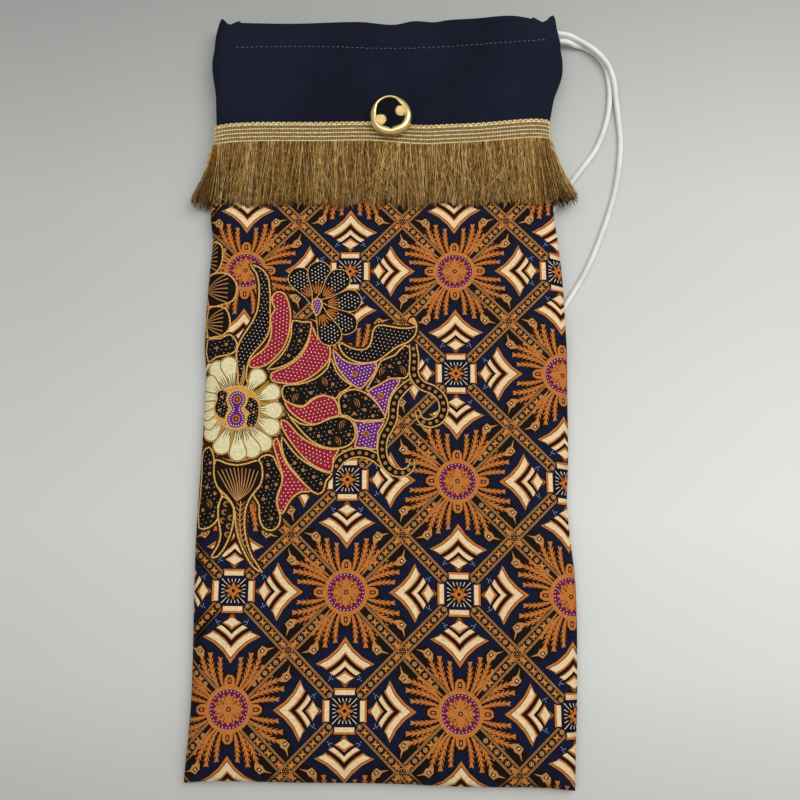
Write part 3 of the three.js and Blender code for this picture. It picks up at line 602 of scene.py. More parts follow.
def paint_square(at, art):
    """One small square of the lattice between four bars, with the bands that leave it."""
    for quarter in range(4):
        paint_band(at, quarter + 0.5, 0.16, (0.185, 0.315, 0.44, 0.565), art)
    for quarter in range(4):
        for half, colour in (([(0.128, 0.1), (0.2, 0.1)], ink),
                             ([(0.132, 0.088), (0.168, 0.088), (0.19, 0.095)], orange),
                             ([(0.134, 0.084), (0.172, 0.084)], cream)):
            art.shape(at + turned(mirrored(half), quarter), colour)
    art.shape(at + turned(mirrored([(0.113, 0.113), (-0.113, 0.113)]), 0), ink)
    for k in range(20):
        direction = ray(2 * pi * (k + 0.5) / 20)
        edge = 0.105 / np.abs(direction).max()
        art.stroke([at + reach * lattice_step * direction for reach in (0.078, edge)], (0.2, 0.42), white)
    art.shape(at + lattice_step * rosette([0.08, 0.058, 0.034, 0.058], 8), orange)
    petal = [reach * lattice_step for reach in (0.03, 0.043, 0.056)]
    art.spokes(at, 4, pi / 4, petal, (0.1, 0.7, 0.1), ink)
    art.discs(at, (0.017 * lattice_step, ink, 8))


def paint_crossing(at, art):
    """The small floret where two bands cross."""
    for k in range(4):
        out, across = ray(pi / 4 + k * pi / 2), ray(3 * pi / 4 + k * pi / 2)
        for side in (-1.5, 1.5):
            leaf = [2.4 * out, 3.4 * out + side * across, 5.2 * out + 0.6 * side * across, 3.8 * out]
            art.shape(at + leaf, orange)
        art.discs(at + 4.3 * out, (0.45, tan, 5))
    art.discs(at, (2.5, tan, 12), (2.1, ink, 12))
    art.dots(at + rosette([1.3], 6), 0.42, orange)
    art.discs(at, (0.45, tan, 5))


def paint_lattice(art):
    places = [(lattice_start + lattice_step * np.array([i, j]), (i + j) % 2)
              for i in range(-3, 3) for j in range(-5, 3)]
    for at, odd in places:
        if not odd:
            paint_star(at, art)
    for at, odd in places:
        if odd:
            paint_square(at, art)
    for at, _ in sorted(places, key=lambda place: place[1]):
        paint_crossing(at + lattice_step / 2, art)


# The floral spray on the front: lobes, blades and buds fan out of a daisy at the left edge, with a flower
# above them and leaves below. Each piece is a closed curve in millimetres.
spray_lobes = [
    [(-56.4, -12), (-48.6, -11.2), (-39.3, -8), (-32.3, -1.6), (-30.4, 4.1), (-27.6, -3.2), (-22.8, -8.8),
     (-18.8, -12), (-25, -16), (-27.3, -19.2), (-34.4, -17.2), (-41.4, -20), (-45.2, -23.6),
     (-52.3, -22.4), (-56.2, -20), (-57.5, -16)],
    [(-25.7, -19.2), (-21.9, -15.2), (-16.4, -14), (-10.1, -16.4), (-4.6, -21.6), (0.5, -30.3),
     (-8.5, -31.5), (-17, -31.5), (-20.9, -29.1), (-24.1, -28.7), (-25.3, -24)],
    [(-53.6, -28.7), (-47.3, -33.5), (-39.5, -34.3), (-32.6, -31.5), (-25.6, -29.4), (-19.4, -31.1),
     (-16.6, -35.8), (-16.5, -41.3), (-19.9, -45.6), (-26.1, -47.4), (-33.1, -46.8), (-40.9, -42.9),
     (-47.2, -36.6)],
    [(-56.8, -41.3), (-53.2, -46), (-47.6, -52.2), (-40.6, -56.9), (-33.6, -60.3), (-29, -61.5),
     (-32, -65.3), (-33.4, -70.7), (-36.4, -72.6), (-41.9, -69.1), (-48.1, -62.2), (-53.7, -55.3),
     (-56.6, -48.3)],
    [(-61.5, -52.2), (-59.1, -56.9), (-56.6, -61.5), (-56.1, -66.8), (-58.2, -72.2), (-58.8, -78.3),
     (-56.7, -84.3), (-57.3, -89.6), (-61, -92.6), (-65.6, -91.1), (-68.1, -85.1), (-68.3, -79),
     (-70.7, -75.2), (-71.6, -72.9), (-68.6, -69.1), (-66.9, -63), (-67.9, -56.9), (-69.2, -53.8),
     (-65.4, -51.4)],
    [(-101, -49.1), (-97.2, -46.8), (-94.2, -53), (-93.9, -61.5), (-91.6, -69.1), (-88.7, -73.7),
     (-90.8, -79.8), (-90.5, -86.6), (-95.2, -91.1), (-101.3, -91.1), (-101.4, -72.2), (-101.2, -60.7)],
    [(-52.7, 26.1), (-47.1, 25.3), (-42.3, 25.3), (-42.6, 18.7), (-46, 9.6), (-52.1, 2.3), (-59.9, -1.7),
     (-66.2, -2.5), (-60, 3.9), (-55.5, 10.5), (-53.3, 17.8)],
    [(-101.3, 15.4), (-93.7, 15.4), (-88.3, 17.8), (-84.1, 12.9), (-84.7, 8), (-89.3, 5.6), (-95.6, 4.7),
     (-100.3, 2.3)],
    [(-2.2, 2.5), (5.7, 6), (11.3, 11.8), (14.7, 8.9), (13.5, -3.8), (11.3, -7.3), (6.8, -7.3),
     (1.8, -9.6), (-4.9, -13), (-10.5, -14.7), (-7.2, -8.4), (-3.9, -1.5)],
]
spray_blades = [
    [(-64.7, 40.2), (-62, 43.2), (-58, 42.3), (-55.4, 36.9), (-54, 29.4), (-54.2, 22.8), (-55.2, 16.2),
     (-57.8, 9.6), (-62.4, 3.9), (-67.8, -0.5), (-73.3, -1.7), (-76.5, -0.9), (-76.2, 2.3), (-72.7, 5.6),
     (-68.1, 9.6), (-65.1, 15.4), (-64.6, 22.8), (-65.5, 27.7), (-62.9, 32.7), (-64.6, 36.9)],
    [(-41.9, 23.6), (-39.4, 17.8), (-35.7, 13.7), (-31.3, 10.9), (-31.6, 3.1), (-36.2, -2.5),
     (-42.4, -7.4), (-50.2, -10.6), (-56.5, -10.6), (-63.6, -9), (-63.7, -5), (-56.7, -1.7), (-50.5, 2.3),
     (-45.9, 8), (-42.9, 15.4)],
    [(-55.8, -20.8), (-51.5, -22.8), (-46, -24.4), (-42.1, -21.6), (-38.3, -18.8), (-33.6, -17.6),
     (-28.9, -19.2), (-26.5, -22.4), (-25.6, -28.7), (-31, -30.3), (-35.7, -33.1), (-40.3, -33.9),
     (-45.8, -31.9), (-51.3, -28), (-54.1, -24.8)],
    [(-57.5, -31.9), (-54.3, -32.7), (-48.7, -39), (-42.4, -43.7), (-35.4, -46.8), (-29.2, -48),
     (-25.3, -48), (-28.3, -53), (-29, -60.3), (-34.4, -59.2), (-41.4, -55.3), (-47.7, -49.1),
     (-52.5, -42.9), (-56.5, -36.6)],
    [(-59.5, -42.1), (-57.4, -48.3), (-54.5, -55.3), (-48.9, -62.2), (-43.4, -67.6), (-39.9, -71),
     (-45.6, -71.4), (-50.1, -74.5), (-53.1, -79), (-55.6, -83.5), (-57.6, -81.3), (-58.5, -75.2),
     (-56.8, -69.1), (-55.8, -63), (-58.3, -55.3), (-60.4, -49.1), (-61.4, -43.7)],
]
spray_buds = [
    [(-29.3, 9.2), (-24.5, 3.9), (-18.9, 1.1), (-12.6, 0.7), (-4.8, 1.5), (-5.9, -4.2), (-9.4, -9),
     (-13.3, -13.4), (-18, -11.4), (-23.6, -5.8), (-27.6, 0.7)],
    [(-9.4, -15.2), (-3.1, -11.2), (3.2, -7.6), (8.5, -8.4), (5.5, -13.6), (2.4, -19.2), (0.5, -28.7),
     (-2.3, -24.8), (-5.4, -20)],
    [(-17, -31.9), (-9.2, -32.7), (-0.3, -31.9), (-3.8, -38.2), (-4.5, -47.6), (-10.7, -46.8),
     (-16.5, -46.4), (-15, -40.5), (-15.8, -35.1)],
]
spray_bud_eyes = [(-16.9, -5), (-2.3, -17.6), (-10.3, -39)]
spray_dark_leaves = [
    [(-77.8, 59.3), (-72.9, 58), (-67.9, 52.9), (-66.5, 46.1), (-65.9, 39.4), (-65.7, 31.9), (-65.4, 24.4),
     (-66.8, 17), (-71.3, 10.5), (-75.9, 4.7), (-77.6, -0.9), (-77.8, -8.2), (-76.8, -12.2),
     (-81.9, -12.6), (-82.6, -5.8), (-83.7, 2.3), (-83.9, 8.8), (-81, 16.2), (-76.5, 23.6), (-73.2, 31.1),
     (-72.3, 39.4), (-72.6, 47.8), (-74.4, 54.6)],
    [(-26.3, 13.7), (-21.4, 11.2), (-15.9, 9.2), (-10.3, 9.7), (-7.6, 14.6), (-6.8, 20.3), (-4, 23.5),
     (2.8, 22.9), (8.5, 21.9), (14.7, 22.1), (18.1, 23.5), (13.5, 26.1), (16.3, 27.7), (17.9, 22.8),
     (17, 17.8), (13, 13.7), (7.4, 11.2), (2, 7.2), (-4.8, 2.3), (-14.2, 1.5), (-20.5, 4), (-24.5, 8)],
]
spray_side_petals = [
    [(-104, 74.2), (-99.5, 74.7), (-95.3, 71.7), (-94.3, 65.7), (-95.2, 59.7), (-98.3, 55.4), (-102.7, 55.4)],
    [(-102.6, 53.7), (-97, 55), (-90.5, 53.7), (-85.9, 48.7), (-85.3, 42.8), (-87.5, 37.7), (-93, 35.6),
     (-101.8, 35.6)],
    [(-101.7, 34), (-96.2, 34.8), (-91.3, 33.1), (-88.7, 27.7), (-88.8, 21.1), (-92.2, 17.4),
     (-96.9, 16.6), (-101.3, 17)],
]
flower_heart = np.array((-39, 35.6))
flower_tips = [(-49.8, 52.5), (-38, 56.5), (-26.2, 51.6), (-19.2, 38.4), (-21.6, 24), (-30.9, 17.2)]
daisy_heart = np.array((-82.6, -24.8))
daisy_tips = np.array([
    (-96.6, 0.9), (-88.9, 3.3), (-69.7, -4), (-59.9, -14.4), (-58, -26.4), (-59.6, -37.4), (-64.7, -47.6),
    (-71.9, -51.8), (-80.7, -53.8), (-91.3, -49.9), (-99, -41.3), (-100.9, -33.5), (-102, -27.2),
    (-102.3, -20.8), (-102.2, -14.4), (-101.7, -8),
])
daisy_lobes = [
    [(-91.2, -15.2), (-88.8, -17.6), (-88.2, -21.6), (-88.8, -26.4), (-88.2, -30.3), (-90.2, -30.7),
     (-93.4, -28), (-94.4, -24), (-93.4, -20), (-93.7, -16.8)],
    [(-75, -19.6), (-71.8, -21.6), (-70.9, -25.6), (-71.1, -30.3), (-72.5, -35.1), (-75.2, -35.1),
     (-76.1, -31.1), (-74.7, -28), (-77.2, -24.8), (-75.7, -22)],
]
daisy_eyes = np.array([(-82.6, -20.2), (-82.8, -31.3)])
spray_hanging = [
    [(-93, -54.2), (-93.9, -61.5), (-91.6, -69.1), (-86, -74.5), (-82, -80.5), (-80.8, -89.6),
     (-78.6, -97.8), (-74.6, -106.2), (-70.2, -112.4), (-65.6, -115), (-71.2, -107), (-74.4, -98.6),
     (-76, -89.6), (-75.4, -79.8), (-72, -72.9), (-67.9, -67.6), (-67, -60.7), (-69.1, -54.5),
     (-75.2, -56.1), (-81.4, -57.2), (-87.6, -56.1)],
    [(-88.3, -74.5), (-90.4, -79.8), (-90.2, -87.3), (-88.6, -94.8), (-90, -101.5), (-93.3, -107.3),
     (-89.8, -106.7), (-85, -99.3), (-82.5, -91.1), (-82.1, -81.3), (-84.8, -76.7)],
]
spray_scrolls = [
    [(15.8, 12.1), (16.6, 4.8), (16.6, -5.8), (20.8, -11.3), (26.9, -13.8), (31.7, -18.6), (32.9, -24.9),
     (30.1, -30.6), (24.6, -32.8), (20, -30.9), (18.2, -26.1)],
    [(16.3, -8.4), (9.8, -14), (5.9, -19.2), (4.8, -24.8), (4.4, -30.3), (2.1, -35.8), (-0.6, -40.9),
     (-1.4, -46.5), (-1, -51.5), (1.4, -56.9), (6, -60.3), (11.4, -60.3), (14.9, -56.9), (15.1, -53)],
    [(-27.5, -59.2), (-24.4, -53.8), (-18.3, -50.3), (-11.4, -49.9), (-5.2, -52.2), (-0.6, -56.1),
     (4.8, -59.8)],
]


def rounded_off(points, steps=3):
    """A closed smooth curve through the points."""
    p = np.array(points, float)
    q = smooth_route(np.vstack([p[-3:], p, p[:3]]), steps)
    return q[3 * steps:len(q) - 1 - 2 * steps]


def grown(curve, by):
    """The closed curve moved outwards by so many millimetres."""
    p = np.asarray(curve, float)
    t = np.roll(p, -1, axis=0) - np.roll(p, 1, axis=0)
    t /= np.maximum(np.linalg.norm(t, axis=1), 1e-6)[:, None]
    x, y = p.T
    turn = np.sign(np.dot(x, np.roll(y, -1)) - np.dot(y, np.roll(x, -1)))
    return untangled(p + np.column_stack([t[:, 1], -t[:, 0]]) * by * turn)


def dots_within(curve, pitch, turn=0.0, inset=0.9, jitter=0.0, seed=1):
    """A field of evenly spread places inside the closed curve."""
    low, high = curve.min(0), curve.max(0)
    reach = np.linalg.norm(high - low) / 2 + pitch
    steps = np.arange(-reach, reach, pitch)
    u, v = np.meshgrid(steps, steps * 0.87)
    u = u + (np.arange(len(steps)) % 2)[:, None] * pitch / 2
    field = np.column_stack([u.ravel(), v.ravel()])
    field = field + np.random.default_rng(seed).uniform(-jitter, jitter, field.shape)
    field = field @ np.array([[cos(turn), sin(turn)], [-sin(turn), cos(turn)]]) + (low + high) / 2
    return field[inside(grown(curve, -inset), field)]


def clear_of(places, others, gap):
    """The places that keep the gap to all the others."""
    return [place for place in places if all(np.linalg.norm(other - place) > gap for other in others)]


def beaded(curve, art, radius=0.36, pitch=2.05, colour=cream, close=True):
    """A row of pale beads along the curve."""
    line = np.vstack([curve, curve[:1]]) if close else curve
    length = travelled(line)[-1]
    count = max(2, int(length / pitch))
    art.dots(along_line(line, np.linspace(0, length, count, endpoint=False)), radius, colour)


def outlined(points, fill, art, line=0.45, beads=True):
    """A piece of the spray: its fill inside a gold outline, with pale beads on the outline."""
    curve = rounded_off(points, 2)
    art.cover(grown(curve, line), gold)
    art.shape(grown(curve, -line), fill)
    if beads:
        beaded(curve, art)
    return curve


def sprinkle(curve, art):
    """Fine dots, ringed dots and nested arcs on a dark piece."""
    ringed = dots_within(curve, 6.3, 0.4, 1.9, 0.6, 4)
    arcs = dots_within(curve, 10.0, 1.1, 3.7, 0.5, 9)
    fine = clear_of(dots_within(curve, 2.6, 0.2, 1.1, 0.3, 2), ringed, 1.5)
    art.dots(clear_of(fine, arcs, 3.6), 0.3, pale_dot)
    for place in clear_of(ringed, arcs, 3.9):
        art.discs(place, (0.95, tan, 8), (0.42, brown, 5))
    for k, place in enumerate(arcs):
        facing = 2.1 * k + 0.5
        for radius, colour in ((1.0, tan), (2.1, orange), (3.2, tan)):
            arc = place + radius * ray(facing + np.linspace(-1.15, 1.15, 6)) - 0.9 * ray(facing)
            art.stroke(arc, (0.15, 0.42, 0.15), colour)


def drop_petal(root, tip, half, fill, art):
    """A drop-shaped petal: narrow at its root and round at its tip, inside a gold line and a dark one."""
    run = tip - root
    length = np.linalg.norm(run)
    unit, across = run / length, np.array([-run[1], run[0]]) / length
    flank = [(0, 0.28), (0.3, 0.45), (0.55, 0.8), (0.75, 1.0), (0.9, 0.8)]
    outline = [*flank, (1.0, 0), *((s, -w) for s, w in flank[::-1])]
    curve = rounded_off([root + unit * length * s + across * half * w for s, w in outline], 2)
    art.cover(grown(curve, 0.75), gold)
    art.shape(grown(curve, 0.32), brown)
    art.shape(curve, fill)
    return curve, unit, across, length


def ribbon_scroll(points, width, art):
    """A dark scroll with gold edges, beads along them and a row of ringed dots along its middle."""
    line = smooth_route(points, 5)
    taper = np.interp(np.linspace(0, 1, 9), (0, 0.12, 0.75, 1), (0.75, 1, 0.95, 0.35)) * width
    art.stroke(line, taper + 1.9, brown, hide=True)
    art.stroke(line, taper + 1.5, gold)
    art.stroke(line, taper, ink)
    half = np.interp(np.linspace(0, 1, len(line)), np.linspace(0, 1, 9), taper) / 2 + 0.38
    for side in (1, -1):
        beaded(line + side * half[:, None] * sideways(line), art, 0.324, close=False)
    for place in along_line(line, np.arange(2.2, travelled(line)[-1] - 1.5, 3.9)):
        art.discs(place, (0.98, tan, 8), (0.42, brown, 5))


def paint_side_petals(art):
    """The petals of a flower that the left seam cuts off, each with a fan of fine lines."""
    for points in spray_side_petals:
        curve = outlined(points, ink, art)
        root = np.array([curve[:, 0].min() - 1, curve[:, 1].mean()])
        for fan in np.linspace(-1, 1, 7):
            end = root + (curve.max(0) - curve.min(0)) * (0.78, 0.434 * fan)
            bend = mix(root, end, 0.55) + (0, 0.9 * fan)
            art.stroke(smooth_route([root, bend, end], 3), (0.2, 0.5, 0.55), tan)


def paint_hanging_leaves(art):
    """The leaves below the daisy: one with curls, and one with a fan above a feathered spine."""
    for place in dots_within(outlined(spray_hanging[1], ink, art), 4.6, 1.4, 1.4):
        for reach in (1.5, 0.9):
            art.stroke(place + reach * ray(np.linspace(0.5, 5.2, 7)), (0.15, 0.4, 0.2), tan)
    outlined(spray_hanging[0], ink, art)
    neck, tip = np.array([-78.4, -77.0]), (-70.5, -110.5)
    spine = smooth_route([neck, (-78.6, -88), (-76.6, -99), tip], 4)
    art.stroke(spine, (0.8, 0.6, 0.25), tan)
    for k, start in enumerate(spine[1:10]):
        for side in (1, -1):
            end = start + (side * (2.6 - 0.16 * k), 2.9)
            art.stroke([start, mix(start, end, 0.5) + (0.2 * side, -0.25), end], (0.5, 0.5, 0.2), tan)
    for fan in np.linspace(-1, 1, 11):
        end = np.array([-80.6 + 11.2 * fan, -58.6 - 1.8 * fan * fan])
        bend = mix(neck, end, 0.5) + (0.3 * fan, -2.2 * abs(fan))
        low = neck + (-2.0 + 1.2 * fan, 0.8 * abs(fan))
        art.stroke(smooth_route([low, bend, end], 3), (0.3, 0.6, 0.45), tan)


def paint_dotted_pieces(art):
    """Red blades, purple buds with an eye, and dark leaves, all filled with white dots."""
    for k, points in enumerate(spray_blades):
        curve = outlined(points, red, art)
        art.dots(dots_within(curve, 2.2, 0.5 + 0.4 * k, 1.1, 0.16), 0.4, white)
    for points, eye in zip(spray_buds, spray_bud_eyes):
        curve = outlined(points, purple, art)
        art.dots(clear_of(dots_within(curve, 1.95, 0.3, 1.0, 0.1), [eye], 2.2), 0.42, white)
        art.discs(eye, (1.7, orange, 12), (1.0, brown, 8), (0.45, orange, 6))
    for k, points in enumerate(spray_dark_leaves):
        curve = outlined(points, ink, art)
        art.dots(dots_within(curve, 2.25, 0.9 + k, 1.0, 0.1), 0.33, white)


def paint_flower(art):
    """Dark petals round a small purple heart, each with white dots and a fan of orange lines."""
    for tip in np.array(flower_tips):
        away = tip - flower_heart
        tip = tip + away / np.linalg.norm(away) * 5.2
        curve, unit, across, length = drop_petal(flower_heart, tip, 6.2, ink, art)
        beaded(grown(curve, 0.55), art, 0.324)
        art.dots(clear_of(dots_within(curve, 2.1, 0.6, 1.0, 0.1), [flower_heart], 0.5 * length), 0.42, white)
        for k in (-2, -1, 0, 1, 2):
            start = flower_heart + unit * length * 0.26 + across * 0.6 * k
            end = flower_heart + unit * length * (0.55 - 0.04 * abs(k)) + across * 1.75 * k
            art.stroke([start, mix(start, end, 0.5), end], (0.4, 0.75, 0.25), orange)
    heart = flower_heart + [(-2.6, 2.2), (0, 4), (2.6, 2.2), (2.4, -1.6), (0, -6.4), (-2.4, -1.6)]
    art.dots(dots_within(outlined(heart, purple, art), 1.5, 0.2, 0.7), 0.36, white)


def paint_daisy(art):
    """Cream petals over gold ones, and a gold heart with two dark lobes and a purple figure of eight."""
    for tip, following in zip(daisy_tips, np.roll(daisy_tips, -1, axis=0)):
        side = (tip + following) / 2
        run = side - daisy_heart
        across = np.array([run[1], -run[0]])
        start, swirl = mix(daisy_heart, side, 0.42), mix(daisy_heart, side, 0.68) + 0.03 * across
        art.stroke([start, swirl, mix(daisy_heart, side, 0.98)], (2.4, 2.0, 0.8), gold)
        for shift in (-0.45, 0.45):
            aside = across / np.linalg.norm(run) * shift
            start, end = mix(daisy_heart, side, 0.46) + aside, mix(daisy_heart, side, 0.95)
            art.stroke([start, swirl + aside, end], (0.35, 0.3, 0.15), brown)
    for tip in daisy_tips:
        away = tip - daisy_heart
        root = daisy_heart + away * 0.42
        _, unit, across, length = drop_petal(root, tip + 0.03 * away, 4.5, petal_cream, art)
        for k in (-2, -1, 0, 1):
            start = root + unit * 0.6 + across * 0.7 * k
            end = root + unit * length * (0.56 - 0.12 * abs(k + 0.5)) + across * (1.5 * k + 0.3)
            art.stroke([start, mix(start, end, 0.6) + across * 0.25, end], (0.55, 0.45, 0.1), brown)
    outlined(daisy_heart + rosette([1], 18) * (12.6, 12.2), gold, art, 0.5)
    for points in daisy_lobes:
        lobe = np.array(points)
        middle = lobe.mean(0)
        lobe = middle + (lobe - middle) * (1.45, 1.12) + 0.06 * (daisy_heart - middle)
        curve = outlined(lobe, ink, art, 0.4, beads=False)
        art.dots(dots_within(curve, 1.9, 0.4, 0.8), 0.28, pale_dot)
        for place in dots_within(curve, 4.4, 0.9, 1.4):
            art.discs(place, (0.85, tan, 7), (0.35, brown, 5))
    top, low = daisy_eyes
    waist = (top + low) / 2
    figure = [*(top + (5.4, 5.6) * ray(np.radians((-35, 0, 35, 70, 110, 145, 180, 215)))), waist - (3.1, 0),
              *(low + (5.7, 5.8) * ray(np.radians((145, 180, 215, 250, 290, 325, 360, 395)))),
              waist + (3.1, 0)]
    beaded(grown(outlined(figure, purple, art, 0.75), -1.75), art, 0.42, 1.4, white)
    for eye in daisy_eyes:
        art.discs(eye, (2.3, orange, 12), (1.6, brown, 10), (0.8, orange, 6))


def paint_spray(art):
    for points in [*spray_lobes, *spray_blades, *spray_buds, *spray_dark_leaves, *spray_hanging]:
        art.cover(grown(rounded_off(points, 2), 1.7), brown)
    art.cover(daisy_heart + rosette([1], 40) * (24.5, 29.5), brown)
    paint_side_petals(art)
    for points in spray_lobes:
        sprinkle(outlined(points, ink, art), art)
    paint_hanging_leaves(art)
    for points in spray_scrolls[::-1]:
        ribbon_scroll(points, 4.3, art)
    paint_dotted_pieces(art)
    paint_flower(art)
    paint_daisy(art)


# The print is cut into the panel's mesh, up to where the fringe hides it
print_top, lap_inset = 110, 4.5


def panel_mesh(name, side, art):
    """The panel's outer face cut along the shapes of its print, with its allowances turned in."""
    half, length = bag_width / 2, lap_top - bottom_y
    ys = np.concatenate([np.linspace(bottom_y, 130, 90), [seam_end]])
    right = [(right_edge(y), y) for y in ys] + [(right_edge(lap_bottom) - lap_inset, lap_bottom)]
    left = [(left_edge(y), y) for y in ys[::-1]]
    top = [(right_edge(lap_top) - lap_inset, lap_top), (left_edge(lap_top) + lap_inset, lap_top),
           (left_edge(lap_bottom) + lap_inset, lap_bottom)]
    bottom = [(mix(left_edge(bottom_y), right_edge(bottom_y), share), bottom_y)
              for share in np.linspace(0, 1, 52)[1:-1]]
    points, faces, colours = [], [], []

    def put(shape, colour):
        faces.append(list(range(len(points), len(points) + len(shape))))
        points.extend(shape)
        colours.append(colour)

    put(right + top + left + bottom, navy)
    for shape, colour in art.shapes:
        x, y = shape.T
        if y.max() > bottom_y - 4 and y.min() < print_top and abs(x).min() < half + 1:
            put(shape, colour)
    points += [(x, y) for x in np.arange(-half - 1, half + 3, 4.8)
               for y in np.arange(bottom_y - 2, lap_top + 1, 5.2)]
    points += [(edge + inset * inwards, y) for y in np.arange(bottom_y + 1, seam_end, 4.0)
               for edge, inwards in ((left_edge(y), 1), (right_edge(y), -1)) for inset in (0.4, 1.2, 2.6, 5)]
    points += [(x, bottom_y + inset) for x in np.arange(-100, 102, 4.0) for inset in (0.6, 1.8, 4, 7)]
    cut = delaunay_2d_cdt([tuple(map(float, p)) for p in points], [], faces, 1, 1e-4, True)
    flat, cut_faces, owners = np.array([tuple(v) for v in cut[0]]), cut[2], cut[5]
    kept_faces = [(face, colours[max(owned)]) for face, owned in zip(cut_faces, owners) if 0 in owned]
    used = sorted({i for face, _ in kept_faces for i in face})
    renumber = {old: new for new, old in enumerate(used)}
    tris = [[renumber[i] for i in face] for face, _ in kept_faces]
    dyes = [colour for _, colour in kept_faces]
    flat = flat[used]
    share = (flat[:, 1] - bottom_y) / length
    y = mix(bottom_edge(width_share(flat[:, 0], flat[:, 1])), lap_top, share)
    xyz = np.column_stack([flat[:, 0], y, panel_height(side, flat[:, 0], y)]).tolist()

    # The sewn border rolls in round the seam and ends as a flat allowance
    edges = {(a, b) for t in tris for a, b in zip(t, t[1:] + t[:1])}
    border = {a: b for t in tris for a, b in zip(t, t[1:] + t[:1]) if (b, a) not in edges}
    sewn = [a for a in border if flat[a, 1] < seam_end + 0.01]
    last = {a: a for a in sewn}
    for inset, drop in ((0.25, 0.62), (0.8, 1.0), (9.0, 1.0)):
        new = {}
        for a in sewn:
            x0, y0, z0 = xyz[a]
            middle = (left_edge(y0) + right_edge(y0)) / 2
            new[a] = len(xyz)
            inner = mix(middle, x0, 1 - inset / half), mix(lap_top, y0, 1 - inset / length)
            xyz.append([*inner, z0 - side * drop])
        for a in sewn:
            b = border[a]
            if b in new:
                tris += [[last[b], last[a], new[a]], [last[b], new[a], new[b]]]
                dyes += [navy, navy]
        last = new
    if side < 0:
        tris = [t[::-1] for t in tris]
    made = new_object(name, xyz, tris)
    corner_dyes = made.data.color_attributes.new("print", "FLOAT_COLOR", "CORNER")
    corner_dyes.data.foreach_set("color", np.repeat(np.array(dyes), 3, axis=0).ravel())
    return made


cotton, cotton_colours, cotton_surface = new_material("batik cotton", 0.72, Specular_IOR_Level=0.08)
print_dye = node(cotton_colours, "ShaderNodeAttribute", attribute_name="print").outputs["Color"]
wear = node(cotton_colours, "ShaderNodeMapRange", {
    "Value": spots(cotton_colours, 900.0, 3.0), "From Min": 0.3, "From Max": 0.7, "To Min": 0.78,
    "To Max": 1.12,
}).outputs[0]
worn = node(cotton_colours, "ShaderNodeVectorMath", {0: print_dye, "Scale": wear}, operation="SCALE")
cotton_colours.links.new(worn.outputs[0], cotton_surface.inputs["Base Color"])
grain(cotton_colours, cotton_surface, spots(cotton_colours, 2400.0), 0.25, 0.0002)

for name, side, stands_for, paints in (
    ("front_panel_cloth", 1, "front_panel", [paint_lattice, paint_spray]),
    ("back_panel_cloth", -1, "back_panel", [paint_lattice]),
):
    art = Print()
    for paint in paints:
        paint(art)
    panel = panel_mesh(name, side, art)
    panel.data.materials.append(cotton)
    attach(panel, "root")
    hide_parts(stands_for)

# Navy band, front and back: a yoke of plain twill lapped over the printed cloth. At the mouth it is
# folded inwards and stitched down as the casing of the drawstring, with a small ear at each end.
casing_depth, hem_inset, face_top, cord_exit_y = 5, 15, 211, 196
stitch_depth, fold_steps = 1.7, 10


def mouth_edge(x, y):
    """The upper edge of the band's face with its ears; the fold rises half the casing's depth above it."""
    fold = fold_y + follow(fold_sway, width_share(x, y)) - casing_depth / 2
    distance = edge_distance(x, y)
    ear = smooth(0, 1, (0.6 * hem_inset - distance) / (0.6 * hem_inset - 1.2))
    shoulder = smooth(0.55 * hem_inset, 0.93 * hem_inset, distance)
    eared = fold + 5.6 * ear + 2.3 * shoulder - 1.5 * (1 - smooth(0, 1.2, distance))
    return np.where(distance > hem_inset - 0.1, fold, eared)


def stitch_y(share):
    return fold_y + follow(stitch_sway, share)


def band_height(side, x, y):
    """The band's outer face, drawn in along the casing's stitches."""
    from_seam = y - stitch_y(width_share(x, y))
    calm = smooth(2, 14, edge_distance(x, y)) * smooth(150, 172, y)
    draw = 0.42 * np.exp(-(from_seam / 1.3) ** 2)
    pucker = 0.2 * np.sin(0.62 * x + 1.3 * np.sin(0.11 * x)) * np.exp(-(from_seam / 7) ** 2)
    wave = 0.3 * np.sin(0.035 * x + 0.05 * y) * np.sin(0.06 * y - 0.02 * x + 1)
    return outer_height(side, x, y) + side * calm * (pucker + wave - draw)


def thickened(points, faces, thickness=0.7):
    """The sheet's outer face with an inner face one cloth thickness behind it, closed round its border."""
    p = np.array(points, float)
    tris = np.array([t for f in faces for t in ((f[0], f[1], f[2]), (f[0], f[2], f[3]))])
    normals = np.zeros_like(p)
    crossed = np.cross(p[tris[:, 1]] - p[tris[:, 0]], p[tris[:, 2]] - p[tris[:, 0]])
    for corner in range(3):
        np.add.at(normals, tris[:, corner], crossed)
    normals /= np.linalg.norm(normals, axis=1)[:, None]
    count = len(p)
    edges = {(a, b) for f in faces for a, b in zip(f, f[1:] + f[:1])}
    walls = [[b, a, count + a, count + b] for a, b in edges if (b, a) not in edges]
    inner = [[count + i for i in f[::-1]] for f in faces]
    return np.vstack([p, p - normals * thickness]), faces + inner + walls


